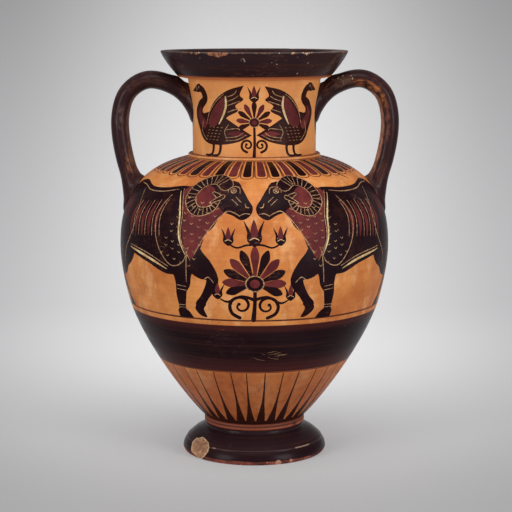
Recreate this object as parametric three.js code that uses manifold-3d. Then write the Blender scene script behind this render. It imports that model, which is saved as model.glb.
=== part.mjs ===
// Neck amphora: a two-handled thrown clay storage jar on an echinus foot, standing free.
// Lengths in millimetres, +Z up, z = 0 on the table, handles along +X and -X, picture side at -Y.
import * as THREE from "three";
import { mergeVertices } from "three/addons/utils/BufferGeometryUtils.js";
import Module from "manifold-3d";

// Facets of the turned pieces, and points along each curve
const roundFacets = 56;
const wallPoints = 7;
const lipPoints = 6;
const roundPoints = 4;
const handleRings = 30;
const handleFacets = 16;

// Gap left where a handle or a ring is fitted against a turned wall
const slipGap = 0.3;

// Foot: echinus disc under a short neck, hollow underneath, standing on a ring
const footHeight = 29.2;
const footNeckHeight = 4.2;
const footTopRadius = 49.2;
const footEdgeRadius = 71.9;
const footEdgeHeight = 3;
const footRestRadius = 70.4;
const footTreadRadius = 57;
const footHollowRadius = 30;
const footHollowDepth = 17;
const footSlopeReach = 10;
const footSlopeDrop = 2.6;
const footSwellHeight = 9.5;

// Fillet between foot and body: two rounds with a groove
const filletHeight = 6.3;
const filletRadius = 50.4;
const filletGrooveRadius = 49.2;

// Lower body: bowl up to the top of the broad black band
const lowerBodyHeight = 112.9;
const bodyBaseRadius = 49.4;
const bandTopRadius = 122.3;
const lowerBaseRun = 9.5;
const lowerSeamRun = 44;
const lowerBaseFlareShare = 1.27;
const seamFlareShare = 0.35;
const wallThickness = 6.5;
const floorThickness = 9;

// Upper body: belly and shoulder
const upperBodyHeight = 148.6;
const bellyRadius = 133.2;
const bellyRise = 61.6;
const bellyLowerRun = 10;
const bellyUpperRun = 23.5;
const shoulderSideRun = 41;
const shoulderTopRun = 55.4;
const shoulderTopRadius = 63.6;
const shoulderTiltShare = 0.2;

// Collar: small raised ring round the root of the neck
const collarHeight = 3.2;
const collarWidth = 3.4;
const collarLipShare = 0.8;

// Neck: concave tube
const neckHeight = 76.4;
const neckRadius = 60.8;
const neckTopRadius = 65.4;
const neckFootRadius = 61.6;
const neckWall = 6.2;
const neckStraightRise = 6;
const neckWaistRun = 34;
const neckTopRun = 26;
const neckTopFlareShare = 0.16;

// Mouth: echinus with a flat rim, on a narrow step
const mouthHeight = 26.6;
const mouthStepHeight = 1.4;
const mouthStepRadius = 68;
const mouthFootRadius = 75.4;
const mouthRimRadius = 92.1;
const mouthSwellReach = 4;
const mouthSwellRise = 4.7;
const rimSlopeRise = 9.2;
const rimSlopeReach = 3.5;
const rimFaceWidth = 9.5;
const rimRounding = 0.8;
const mouthBowlDrop = 8;
const mouthBowlReach = 9;

// Handles: vertical straps of flattened oval section from neck to shoulder
const archReach = 105;
const archDrop = 1.7;
const bendReach = 124.7;
const bendDrop = 13.6;
const gripReach = 132.8;
const gripDrop = 38;
const lowerReach = 127.8;
const lowerDrop = 82;
const neckRootReach = 50;
const neckRootDrop = 37;
const neckTurnReach = 76;
const neckTurnDrop = 9.8;
const shoulderRootReach = 107.2;
const shoulderRootDrop = 134.5;
const strapThickness = 17.8;
const strapDepth = 24;
const neckRootThickness = 23;
const neckRootDepth = 34;
const shoulderRootThickness = 39.5;
const shoulderRootDepth = 38;
const neckRootFlareLength = 26;
const shoulderRootFlareLength = 50;

// Colours
const BLACK_GLAZE = 0x17110f;
const CLAY = 0xc9793b;
const RED_CLAY = 0x9a4a30;

// Heights of the joints between the pieces
const filletLevel = footHeight;
const bodyLevel = filletLevel + filletHeight;
const seamLevel = bodyLevel + lowerBodyHeight;
const shoulderLevel = seamLevel + upperBodyHeight;
const neckTopLevel = shoulderLevel + neckHeight;
const rimLevel = neckTopLevel + mouthHeight;
const neckBoreRadius = neckFootRadius - neckWall;

const at = (r, z) => new THREE.Vector2(r, z);

// Points of a cubic curve through two ends and two handles
function bend(start, leave, arrive, end, points) {
  return new THREE.CubicBezierCurve(start, leave, arrive, end).getPoints(points);
}

// The same line moved inwards, square to itself, by a wall's thickness
function innerLine(line, thickness) {
  return line.map((p, i) => {
    const before = line[Math.max(i - 1, 0)];
    const after = line[Math.min(i + 1, line.length - 1)];
    const along = after.clone().sub(before).normalize();
    return at(p.x - along.y * thickness, p.y + along.x * thickness);
  });
}

// Solid of revolution from a line that runs from the axis or closes on itself
function turned(line) {
  const shape = new THREE.LatheGeometry(line, roundFacets);
  shape.rotateX(Math.PI / 2);
  return closed(shape);
}

function closed(shape) {
  const bare = new THREE.BufferGeometry();
  bare.setAttribute("position", shape.getAttribute("position"));
  if (shape.index) bare.setIndex(shape.index);
  return mergeVertices(bare, 1e-3);
}

const wasm = await Module();
wasm.setup();

function solidOf(shape) {
  const made = closed(shape);
  const mesh = new wasm.Mesh({
    numProp: 3,
    vertProperties: new Float32Array(made.attributes.position.array),
    triVerts: new Uint32Array(made.index.array),
  });
  return new wasm.Manifold(mesh);
}

function shapeOf(solid) {
  const mesh = solid.getMesh();
  const shape = new THREE.BufferGeometry();
  shape.setAttribute("position", new THREE.BufferAttribute(mesh.vertProperties, 3));
  shape.setIndex(new THREE.BufferAttribute(mesh.triVerts, 1));
  return shape;
}

// Lines of the outer walls, each from bottom to top
const footNeckLevel = footHeight - footNeckHeight;
const footWall = bend(
  at(footEdgeRadius, footEdgeHeight),
  at(footEdgeRadius, footEdgeHeight + footSwellHeight),
  at(footTopRadius + footSlopeReach, footNeckLevel - footSlopeDrop),
  at(footTopRadius, footNeckLevel),
  wallPoints,
);

const lowerWall = bend(
  at(bodyBaseRadius, bodyLevel),
  at(bodyBaseRadius + lowerBaseRun * lowerBaseFlareShare, bodyLevel + lowerBaseRun),
  at(bandTopRadius - lowerSeamRun * seamFlareShare, seamLevel - lowerSeamRun),
  at(bandTopRadius, seamLevel),
  wallPoints,
);

const bellyLevel = seamLevel + bellyRise;
const bellyWall = bend(
  at(bandTopRadius, seamLevel),
  at(bandTopRadius + bellyLowerRun * seamFlareShare, seamLevel + bellyLowerRun),
  at(bellyRadius, bellyLevel - bellyUpperRun),
  at(bellyRadius, bellyLevel),
  roundPoints + 1,
);
const shoulderWall = bend(
  at(bellyRadius, bellyLevel),
  at(bellyRadius, bellyLevel + shoulderSideRun),
  at(shoulderTopRadius + shoulderTopRun, shoulderLevel - shoulderTopRun * shoulderTiltShare),
  at(shoulderTopRadius, shoulderLevel),
  wallPoints + 1,
);
const upperWall = [...bellyWall, ...shoulderWall.slice(1)];

const waistLevel = shoulderLevel + neckStraightRise;
const neckWallLine = [
  at(neckFootRadius, shoulderLevel),
  ...bend(
    at(neckRadius, waistLevel),
    at(neckRadius, waistLevel + neckWaistRun),
    at(neckTopRadius - neckTopRun * neckTopFlareShare, neckTopLevel - neckTopRun),
    at(neckTopRadius, neckTopLevel),
    lipPoints,
  ),
];

const stepLevel = neckTopLevel + mouthStepHeight;
const mouthWall = [
  at(mouthStepRadius, neckTopLevel),
  at(mouthFootRadius - rimRounding, stepLevel),
  ...bend(
    at(mouthFootRadius, stepLevel + rimRounding),
    at(mouthFootRadius + mouthSwellReach, stepLevel + mouthSwellRise),
    at(mouthRimRadius - rimSlopeReach, rimLevel - rimSlopeRise),
    at(mouthRimRadius, rimLevel - rimRounding),
    lipPoints,
  ),
];

// Foot, turned in one piece, with the hollow that leaves a standing ring
const foot = turned([
  at(0, footHollowDepth),
  at(footHollowRadius, footHollowDepth),
  at(footTreadRadius, 0),
  at(footRestRadius, 0),
  ...footWall,
  at(footTopRadius, footHeight),
  at(0, footHeight),
]);

// Fillet disc: two rounds with a groove at its middle
const filletRound = filletHeight / 4;
const fillet = turned([
  at(0, filletLevel),
  at(filletGrooveRadius, filletLevel),
  at(filletRadius, filletLevel + filletRound),
  at(filletGrooveRadius, filletLevel + filletHeight / 2),
  at(filletRadius, bodyLevel - filletRound),
  at(filletGrooveRadius, bodyLevel),
  at(0, bodyLevel),
]);

// Bowl: its inside follows the outside at one wall thickness, down to a rounded floor
const floorLevel = bodyLevel + floorThickness;
const lowerInside = innerLine(lowerWall, wallThickness)
  .filter((p) => p.y > floorLevel + floorThickness / 2 && p.y < seamLevel - wallThickness);
const seamInnerRadius = bandTopRadius - wallThickness * Math.hypot(1, seamFlareShare);
const lowerBody = turned([
  at(0, bodyLevel),
  ...lowerWall,
  at(seamInnerRadius, seamLevel),
  ...lowerInside.reverse(),
  at(bodyBaseRadius - wallThickness, floorLevel),
  at(0, floorLevel),
]);

// Belly and shoulder, open at the seam and at the neck
const upperInside = innerLine(upperWall, wallThickness)
  .filter((p) => p.y > seamLevel + wallThickness && p.x > neckBoreRadius + wallThickness);
const upperBody = turned([
  at(seamInnerRadius, seamLevel),
  ...upperWall,
  at(neckBoreRadius, shoulderLevel),
  at(neckBoreRadius, shoulderLevel - wallThickness),
  ...upperInside.reverse(),
  at(seamInnerRadius, seamLevel),
]);

// Collar ring, half round outside, slipped over the root of the neck
const collarBore = neckFootRadius + slipGap;
const collar = turned([
  at(collarBore, shoulderLevel),
  ...bend(
    at(collarBore + collarWidth, shoulderLevel),
    at(collarBore + collarWidth, shoulderLevel + collarHeight / 2),
    at(collarBore + collarWidth, shoulderLevel + collarHeight),
    at(collarBore + collarWidth / 2, shoulderLevel + collarHeight),
    roundPoints,
  ),
  at(collarBore, shoulderLevel + collarHeight * collarLipShare),
  at(collarBore, shoulderLevel),
]);

// Neck tube with a plain bore
const neckInside = innerLine(neckWallLine, neckWall)
  .filter((p) => p.y > waistLevel && p.y < neckTopLevel - neckWall);
const neckTopBore = neckTopRadius - neckWall;
const neck = turned([
  at(neckBoreRadius, shoulderLevel),
  ...neckWallLine,
  at(neckTopBore, neckTopLevel),
  ...neckInside.reverse(),
  at(neckBoreRadius, shoulderLevel),
]);

// Mouth: flat rim, and a dished inside running down into the neck
const rimInnerRadius = mouthRimRadius - rimFaceWidth;
const mouth = turned([
  at(neckTopBore, neckTopLevel),
  ...mouthWall,
  at(mouthRimRadius - rimRounding, rimLevel),
  at(rimInnerRadius, rimLevel),
  ...bend(
    at(rimInnerRadius - rimRounding, rimLevel - rimRounding),
    at(rimInnerRadius - rimRounding, rimLevel - mouthBowlDrop),
    at(neckTopBore + mouthBowlReach, neckTopLevel + mouthStepHeight),
    at(neckTopBore, neckTopLevel),
    lipPoints,
  ),
]);

// Right handle: a strap swept along a curve, wider at both roots
const strapPath = new THREE.CatmullRomCurve3(
  [
    [neckRootReach, neckRootDrop],
    [neckTurnReach, neckTurnDrop],
    [archReach, archDrop],
    [bendReach, bendDrop],
    [gripReach, gripDrop],
    [lowerReach, lowerDrop],
    [shoulderRootReach, shoulderRootDrop],
  ].map(([reach, drop]) => new THREE.Vector3(reach, 0, neckTopLevel - drop)),
  false,
  "centripetal",
);

const ease = (x) => x * x * (3 - 2 * x);

// Size of the section at a distance along the strap, between a root's size and the grip's
function flare(distance, length, rootSize, gripSize) {
  const near = 1 - THREE.MathUtils.clamp(distance / length, 0, 1);
  return gripSize + (rootSize - gripSize) * ease(near);
}

function sweptStrap() {
  const total = strapPath.getLength();
  const positions = [];
  const faces = [];
  for (let i = 0; i <= handleRings; i++) {
    const t = i / handleRings;
    const centre = strapPath.getPointAt(t);
    const along = strapPath.getTangentAt(t);
    const outward = new THREE.Vector3(-along.z, 0, along.x);
    const fromNeck = t * total;
    const fromShoulder = total - fromNeck;
    const upper = fromNeck < fromShoulder;
    const thickness = upper
      ? flare(fromNeck, neckRootFlareLength, neckRootThickness, strapThickness)
      : flare(fromShoulder, shoulderRootFlareLength, shoulderRootThickness, strapThickness);
    const depth = upper
      ? flare(fromNeck, neckRootFlareLength, neckRootDepth, strapDepth)
      : flare(fromShoulder, shoulderRootFlareLength, shoulderRootDepth, strapDepth);
    for (let k = 0; k < handleFacets; k++) {
      const angle = (2 * Math.PI * k) / handleFacets;
      const side = (Math.sin(angle) * depth) / 2;
      const out = (Math.cos(angle) * thickness) / 2;
      positions.push(centre.x + outward.x * out, side, centre.z + outward.z * out);
    }
  }
  const ring = (i, k) => i * handleFacets + (k % handleFacets);
  for (let i = 0; i < handleRings; i++) {
    for (let k = 0; k < handleFacets; k++) {
      faces.push(ring(i, k), ring(i + 1, k), ring(i, k + 1));
      faces.push(ring(i, k + 1), ring(i + 1, k), ring(i + 1, k + 1));
    }
  }
  for (let k = 1; k < handleFacets - 1; k++) {
    faces.push(ring(0, 0), ring(0, k), ring(0, k + 1));
    faces.push(ring(handleRings, 0), ring(handleRings, k + 1), ring(handleRings, k));
  }
  const shape = new THREE.BufferGeometry();
  shape.setAttribute("position", new THREE.Float32BufferAttribute(positions, 3));
  shape.setIndex(faces);
  return shape;
}

// The jar's outside, grown by the gap, that the handle roots are cut against
function jarCore() {
  const grow = (p) => at(p.x + slipGap, p.y);
  const bodyLine = [
    at(0, seamLevel),
    ...upperWall.map(grow),
    at(collarBore + collarWidth + slipGap, shoulderLevel + slipGap),
    at(collarBore + collarWidth + slipGap, shoulderLevel + collarHeight + slipGap),
    at(neckRadius + slipGap, shoulderLevel + collarHeight + slipGap + slipGap),
    ...neckWallLine.slice(2).map(grow),
    at(mouthStepRadius + slipGap, neckTopLevel - slipGap),
    ...mouthWall.slice(1).map((p) => at(p.x + slipGap, p.y - slipGap)),
    at(mouthRimRadius + slipGap, rimLevel),
    at(0, rimLevel),
  ];
  return solidOf(turned(bodyLine));
}

const rightStrap = solidOf(sweptStrap()).subtract(jarCore());
const rightHandle = rightStrap
  .decompose()
  .sort((a, b) => b.volume() - a.volume())[0];
const leftHandle = rightHandle.mirror([1, 0, 0]);

const amphora = new THREE.Group();
function add(name, shape, colour, roughness) {
  const material = new THREE.MeshStandardMaterial({ color: colour, roughness });
  const mesh = new THREE.Mesh(shape, material);
  mesh.name = name;
  amphora.add(mesh);
}

add("foot", foot, BLACK_GLAZE, 0.4);
add("foot_fillet", fillet, RED_CLAY, 0.6);
add("lower_body", lowerBody, BLACK_GLAZE, 0.4);
add("upper_body", upperBody, CLAY, 0.5);
add("neck_ring", collar, CLAY, 0.5);
add("neck", neck, CLAY, 0.5);
add("mouth", mouth, BLACK_GLAZE, 0.4);
add("right_handle", shapeOf(rightHandle), BLACK_GLAZE, 0.4);
add("left_handle", shapeOf(leftHandle), BLACK_GLAZE, 0.4);

export default amphora;
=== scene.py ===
import math
import random

import bpy
import bmesh
import numpy as np
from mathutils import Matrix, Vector
from mathutils.geometry import delaunay_2d_cdt


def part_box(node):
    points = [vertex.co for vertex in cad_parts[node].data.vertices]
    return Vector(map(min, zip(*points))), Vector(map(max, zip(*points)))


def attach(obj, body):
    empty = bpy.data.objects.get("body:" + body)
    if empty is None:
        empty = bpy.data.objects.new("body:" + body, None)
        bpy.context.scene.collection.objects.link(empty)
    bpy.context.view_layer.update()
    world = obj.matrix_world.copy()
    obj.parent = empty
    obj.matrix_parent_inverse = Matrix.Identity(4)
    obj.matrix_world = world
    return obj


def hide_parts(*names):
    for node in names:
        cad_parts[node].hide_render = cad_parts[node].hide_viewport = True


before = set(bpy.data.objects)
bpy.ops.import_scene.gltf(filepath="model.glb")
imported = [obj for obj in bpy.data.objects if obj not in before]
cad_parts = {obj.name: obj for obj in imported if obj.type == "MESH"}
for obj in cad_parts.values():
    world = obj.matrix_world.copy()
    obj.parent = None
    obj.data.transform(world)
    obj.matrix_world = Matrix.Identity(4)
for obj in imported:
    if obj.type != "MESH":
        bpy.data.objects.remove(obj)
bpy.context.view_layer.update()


# Camera.
# A long lens stands far back, a little above the rim, and looks down at the jar's middle,
# so that the rim shows as a thin line and the foot as a shallow curve.
mm = 0.001
camera_pitch = 8.652


def new_object(name, data):
    made = bpy.data.objects.new(name, data)
    bpy.context.scene.collection.objects.link(made)
    return made


camera_lens = bpy.data.cameras.new("camera")
camera_lens.lens = 112.49
camera_lens.sensor_width = 36
camera = new_object("camera", camera_lens)
camera.location = (1.68 * mm, -1581.45 * mm, 436.62 * mm)
camera.rotation_euler = (math.radians(90 - camera_pitch), 0, 0)
bpy.context.scene.camera = camera


# Studio.
# A sweep of pale grey paper is floor and background in one, with a faint painted glow that keeps
# it pale from every side, and painted shade that darkens it towards the sides and the front. Big
# soft lamps stand left, right and above, and a spot lights the paper alone.
class Wire:
    """A value inside a node tree. Arithmetic on it adds the Math node that does it."""

    def __init__(self, bench, socket):
        self.bench = bench
        self.socket = socket

    def out(self, name):
        return Wire(self.bench, self.socket.node.outputs[name])

    def math(self, operation, *others):
        return self.bench.math(operation, self, *others)

    def __add__(self, other):
        return self.math("ADD", other)

    def __sub__(self, other):
        return self.math("SUBTRACT", other)

    def __rsub__(self, other):
        return self.bench.math("SUBTRACT", other, self)

    def __mul__(self, other):
        return self.math("MULTIPLY", other)

    def __truediv__(self, other):
        return self.math("DIVIDE", other)

    def __rtruediv__(self, other):
        return self.bench.math("DIVIDE", other, self)

    __radd__ = __add__
    __rmul__ = __mul__


class Bench:
    """A node tree that is built by plain calls, for a finish or for a shape."""

    def __init__(self, tree):
        self.tree = tree

    def node(self, kind, sockets=None, **settings):
        """Adds a node. Its settings come first, then the values or links of its sockets."""
        made = self.tree.nodes.new(kind)
        for name, value in settings.items():
            setattr(made, name, value)
        for name, value in (sockets or {}).items():
            if isinstance(name, int):
                socket = made.inputs[name]
            else:
                socket = next(s for s in made.inputs if s.name == name and s.enabled)
            if isinstance(value, Wire):
                self.tree.links.new(value.socket, socket)
            else:
                socket.default_value = value
        return next((Wire(self, s) for s in made.outputs if s.enabled), None)

    def math(self, operation, *values):
        return self.node("ShaderNodeMath", dict(enumerate(values)), operation=operation)

    def vector(self, operation, *values):
        return self.node("ShaderNodeVectorMath", dict(enumerate(values)), operation=operation)

    def scaled(self, vector, amount):
        return self.node("ShaderNodeVectorMath", {0: vector, "Scale": amount}, operation="SCALE")

    def ramp(self, value, low, high, start=0.0, end=1.0):
        """A soft step: start where the value is at low or before it, end at high and past it."""
        sockets = {"Value": value, "From Min": low, "From Max": high, "To Min": start, "To Max": end}
        return self.node("ShaderNodeMapRange", sockets, interpolation_type="SMOOTHSTEP")


class Finish(Bench):
    """Material of one surface, with the mixes and grains that several of them share."""

    def __init__(self, name):
        self.material = bpy.data.materials.new(name)
        self.material.use_nodes = True
        super().__init__(self.material.node_tree)
        self.tree.nodes.clear()
        self.place = self.node("ShaderNodeTexCoord").out("Object")
        xyz = self.node("ShaderNodeSeparateXYZ", {0: self.place})
        self.x, self.y, self.z = (xyz.out(axis) for axis in "XYZ")

    def noise(self, scale, detail=3.0, rough=0.5, place=None, offset=(0, 0, 0)):
        where = self.vector("ADD", place or self.place, offset)
        sockets = {"Vector": where, "Scale": scale, "Detail": detail, "Roughness": rough}
        return self.node("ShaderNodeTexNoise", sockets)

    def patches(self, low, high, *grain, offset=(0, 0, 0)):
        """Where a noise is high: 0 under low, and 1 over high."""
        return self.ramp(self.noise(*grain, offset=offset), low, high)

    def by_height(self, low, high, start=0.0, end=1.0):
        """A soft step on the way up the jar, or down it, between two heights in mm."""
        return self.ramp(self.z, low * mm, high * mm, start, end)

    def stretched(self, across, up, detail=3.0, rough=0.5, offset=(0, 0, 0)):
        """Grain with one scale across and another up: drawn out along the wheel's turn, or upwards."""
        where = self.vector("MULTIPLY", self.place, (across, across, up))
        return self.noise(1.0, detail, rough, where, offset)

    def streaks(self, low, high, *grain):
        """Where a stretched grain is high: 0 under low, and 1 over high."""
        return self.ramp(self.stretched(*grain), low, high)

    def mix(self, share, first, second):
        """The first colour, and the second one as far as the share goes."""
        def opaque(colour):
            return colour if isinstance(colour, Wire) else (*colour, 1)

        sockets = {"Factor": share, "A": opaque(first), "B": opaque(second)}
        return self.node("ShaderNodeMix", sockets, data_type="RGBA")

    def toned(self, value, low, high, dark, light):
        """A colour that goes from dark to light as a value goes from low to high."""
        return self.mix(self.ramp(value, low, high), dark, light)

    def gloss(self, grain, smooth, dull):
        """A roughness that follows a grain."""
        return self.ramp(grain, 0.2, 0.8, smooth, dull)

    def layered(self, colour, *layers):
        """A colour with others laid over it in turn, each as much as its share says."""
        for share, over in layers:
            colour = self.mix(share, colour, over)
        return colour

    def beside(self, value, middle, far, close):
        """1 where a value is as close as that to a middle one, and 0 where it is that far off."""
        return self.ramp((value - middle).math("ABSOLUTE"), far, close)

    def near(self, point, reach, ragged=0.0, grain=120.0):
        """1 round a point and 0 past its reach, with a soft or ragged edge, all given in mm."""
        point = [value * mm for value in point]
        away = self.vector("DISTANCE", self.place, point).out("Value")
        if ragged:
            away = away + (self.noise(grain, 3.0) - 0.5) * (ragged * mm)
        return self.ramp(away, reach * mm, reach * mm * 0.86)

    def from_axis(self):
        """How far a point is from the jar's upright axis."""
        flat = self.vector("MULTIPLY", self.place, (1, 1, 0))
        return self.vector("LENGTH", flat).out("Value")

    def attribute(self, name, output):
        return self.node("ShaderNodeAttribute", attribute_name=name).out(output)

    def surface(self, sockets):
        shader = self.node("ShaderNodeBsdfPrincipled", sockets)
        self.node("ShaderNodeOutputMaterial", {"Surface": shader})
        return self.material

    def shine(self, colour, rough, height, strength=0.3, deep=0.2 * mm, specular=0.25):
        """The finished surface: its colour, its gloss, and the small relief of a height."""
        bump = self.node("ShaderNodeBump", {
            "Strength": strength, "Distance": deep, "Height": height})
        return self.surface({
            "Base Color": colour, "Roughness": rough, "Specular IOR Level": specular, "Normal": bump})


def paper_finish():
    paper = Finish("paper")
    colour = paper.layered(
        paper.mix(paper.noise(140, 4.0, 0.6), (0.385, 0.385, 0.39), (0.415, 0.415, 0.42)),
        # Painted shade: the paper darkens towards the sides and towards the front, where the lamps'
        # light falls off.
        (paper.ramp(paper.x.math("ABSOLUTE"), 0.04, 0.5), (0.235, 0.235, 0.24)),
        (paper.ramp(paper.y, 0.05, -0.45) * 0.5, (0.23, 0.23, 0.235)))
    return paper.surface({
        # Painted light: a faint glow keeps the paper pale, though it is no lamp.
        "Base Color": colour, "Roughness": 0.92, "Emission Color": (0.98, 0.98, 1, 1),
        "Emission Strength": 0.10})


def paper_sweep():
    front, fold, radius, top, half_width = -7.0, 0.75, 0.9, 3.4, 6.0
    steps = 24
    line = [(front, 0)]
    for k in range(steps + 1):
        lean = k / steps * math.pi / 2
        line.append((fold + radius * math.sin(lean), radius * (1 - math.cos(lean))))
    line.append((fold + radius, top))
    points = [(side * half_width, y, z) for y, z in line for side in (-1, 1)]
    faces = [(2 * k, 2 * k + 1, 2 * k + 3, 2 * k + 2) for k in range(len(line) - 1)]
    mesh = bpy.data.meshes.new("paper_sweep")
    mesh.from_pydata(points, [], faces)
    mesh.shade_smooth()
    mesh.materials.append(paper_finish())
    return new_object("paper_sweep", mesh)


paper = paper_sweep()


def hung(name, light, place, target):
    """Hangs a light at a place and turns it to its target."""
    lamp = new_object(name, light)
    lamp.location = place
    lamp.rotation_euler = (Vector(target) - Vector(place)).to_track_quat("-Z", "Y").to_euler()
    return lamp


def soft_lamp(name, place, target, size, power):
    light = bpy.data.lights.new(name, "AREA")
    light.shape = "RECTANGLE"
    light.size, light.size_y = size
    light.energy = power
    hung(name, light, place, target)


soft_lamp("lamp_left", (-1.54, -1.34, 0.68), (0, 0, 0.22), (0.8, 1.1), 20.5)
soft_lamp("lamp_right", (1.54, -1.34, 0.68), (0, 0, 0.22), (0.8, 1.1), 23)
soft_lamp("lamp_top", (0, -0.8, 1.9), (0, 0, 0.2), (1.4, 0.9), 17)

spot = bpy.data.lights.new("lamp_paper", "SPOT")
spot.energy = 142
spot.spot_size = math.radians(72)
spot.spot_blend = 1.0
spot.shadow_soft_size = 0.15
paper_lamp = hung("lamp_paper", spot, (0, 0.35, 1.75), (0, 0.85, 0.1))
paper_only = bpy.data.collections.new("paper_only")
paper_only.objects.link(paper)
paper_lamp.light_linking.receiver_collection = paper_only
paper_lamp.light_linking.blocker_collection = paper_only

world = bpy.data.worlds.new("studio")
world.use_nodes = True
sky = world.node_tree.nodes["Background"].inputs
sky["Color"].default_value = (1.0, 0.96, 0.95, 1)
sky["Strength"].default_value = 0.22
bpy.context.scene.world = world
bpy.context.scene.view_settings.view_transform = "Standard"


# Foot.
# A thick disc of fired clay with a swelling, echinus-shaped edge, thrown on its own, hollowed
# underneath and luted to the fillet with slip. It is painted black down to a red standing edge.
TURN = 2 * math.pi
# Points of a shape that are closer than this become one point.
WELD = 0.002 * mm
# Nearer the axis than this, a turned piece has no ripple, so that its middle stays closed.
RIPPLE_FROM = 20 * mm
(_, _, foot_low), (foot_edge_radius, _, foot_high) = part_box("foot")
foot_edge_height = 3 * mm
foot_neck_level = foot_high - 4.2 * mm
foot_top_radius = 49.2 * mm
foot_rest_radius = 70.4 * mm
foot_tread_radius = 57 * mm
foot_hollow_radius = 30 * mm
foot_hollow_depth = 17 * mm
foot_swell_rise = 9.5 * mm
foot_throat_reach = 10 * mm
foot_throat_fall = 2.6 * mm
foot_ridge_level = 13.4 * mm
foot_ridge_height = 0.45 * mm
foot_ridge_reach = 0.7 * mm
fill_place = (-53.2 * mm, -43.5 * mm, 10.9 * mm)


def at(r, z):
    """A point of an outline, by its radius and height."""
    return np.array((r, z), float)


def bend(start, leave, arrive, end, count=40):
    """Points of a cubic curve from one end to the other."""
    t = np.linspace(0, 1, count + 1)[:, None]
    return list((1 - t) ** 3 * start + 3 * (1 - t) ** 2 * t * leave
                + 3 * (1 - t) * t ** 2 * arrive + t ** 3 * end)


def corner(before, point, after, size, count=5):
    """A corner of an outline, rounded, over less than half of each side."""
    def towards(other):
        away = other - point
        return point + away * min(size / np.linalg.norm(away), 0.49)

    t = np.linspace(0, 1, count + 1)[:, None]
    return list((1 - t) ** 2 * towards(before) + 2 * (1 - t) * t * point + t ** 2 * towards(after))


def shape_tree(name, inputs):
    """An empty shape tree with its named inputs, and a wire for each of them."""
    tree = bpy.data.node_groups.new(name, "GeometryNodeTree")
    tree.interface.new_socket("Geometry", in_out="OUTPUT", socket_type="NodeSocketGeometry")
    for label, kind in inputs.items():
        tree.interface.new_socket(label, in_out="INPUT", socket_type="NodeSocket" + kind)
    bench = Bench(tree)
    entry = bench.node("NodeGroupInput")
    return bench, {label: entry.out(label) for label in inputs}


def finished_shape(bench, geometry, finish):
    """Ends a shape tree: plain geometry, smooth faces and the material it is given."""
    real = bench.node("GeometryNodeRealizeInstances", {"Geometry": geometry})
    soft = bench.node("GeometryNodeSetShadeSmooth", {"Geometry": real, "Shade Smooth": True})
    dressed = bench.node("GeometryNodeSetMaterial", {"Geometry": soft, "Material": finish})
    bench.node("NodeGroupOutput", {"Geometry": dressed})
    return bench.tree


def grown(name, start, tree, values):
    """The plain mesh that a shape tree makes from a starting line."""
    seed = new_object(name + "_line", start)
    modifier = seed.modifiers.new("shape", "NODES")
    modifier.node_group = tree
    for item in tree.interface.items_tree:
        if item.in_out == "INPUT" and item.name in values:
            modifier[item.identifier] = values[item.name]
    scene_now = bpy.context.evaluated_depsgraph_get()
    mesh = bpy.data.meshes.new_from_object(seed.evaluated_get(scene_now))
    mesh.name = name
    bpy.data.objects.remove(seed)
    return new_object(name, mesh)


def wheel_tree():
    """Turns an outline round the upright axis, with the faint ripple that fingers leave."""
    bench, given = shape_tree("wheel", {
        "Geometry": "Geometry", "Steps Round": "Int", "Ripple": "Float", "Ripple Pitch": "Float",
        "Finish": "Material"})
    size = bench.node("GeometryNodeAttributeDomainSize", {"Geometry": given["Geometry"]})
    rows = size.out("Point Count")
    grid = bench.node("GeometryNodeMeshGrid", {
        "Vertices X": given["Steps Round"] + 1, "Vertices Y": rows})
    index = bench.node("GeometryNodeInputIndex")
    row = index.math("MODULO", rows)
    column = (index / rows).math("FLOOR")
    point = bench.node("GeometryNodeSampleIndex", {
        "Geometry": given["Geometry"], "Value": bench.node("GeometryNodeInputPosition"),
        "Index": row}, data_type="FLOAT_VECTOR")
    outline = bench.node("ShaderNodeSeparateXYZ", {0: point})
    radius, height = outline.out("X"), outline.out("Z")
    grain = bench.node("ShaderNodeTexNoise", {
        "W": height / given["Ripple Pitch"], "Scale": 1.0, "Detail": 2.0}, noise_dimensions="1D")
    off_axis = bench.math("GREATER_THAN", radius, RIPPLE_FROM)
    radius = radius + (grain - 0.5) * given["Ripple"] * off_axis
    angle = column * TURN / given["Steps Round"]
    place = bench.node("ShaderNodeCombineXYZ", {
        "X": radius * angle.math("COSINE"), "Y": radius * angle.math("SINE"), "Z": height})
    wall = bench.node("GeometryNodeSetPosition", {"Geometry": grid, "Position": place})
    closed = bench.node("GeometryNodeMergeByDistance", {"Geometry": wall, "Distance": WELD})
    return finished_shape(bench, closed, given["Finish"])


wheel = wheel_tree()


def turned(name, outline, finish, steps=360, ripple=0.12 * mm, pitch=3.2 * mm):
    """A piece turned on the wheel, from an outline of radius and height."""
    mesh = bpy.data.meshes.new(name + "_outline")
    mesh.from_pydata([(r, 0, z) for r, z in outline], [], [])
    values = {"Steps Round": steps, "Ripple": ripple, "Ripple Pitch": pitch, "Finish": finish}
    return grown(name, mesh, wheel, values)


CLAY_LIGHT = (0.72, 0.285, 0.078)
CLAY_DARK = (0.47, 0.132, 0.031)
SLIP_BLACK = (0.0115, 0.0032, 0.0050)
SLIP_BROWN = (0.060, 0.0185, 0.0125)
RED_WASH = (0.30, 0.075, 0.050)


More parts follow.
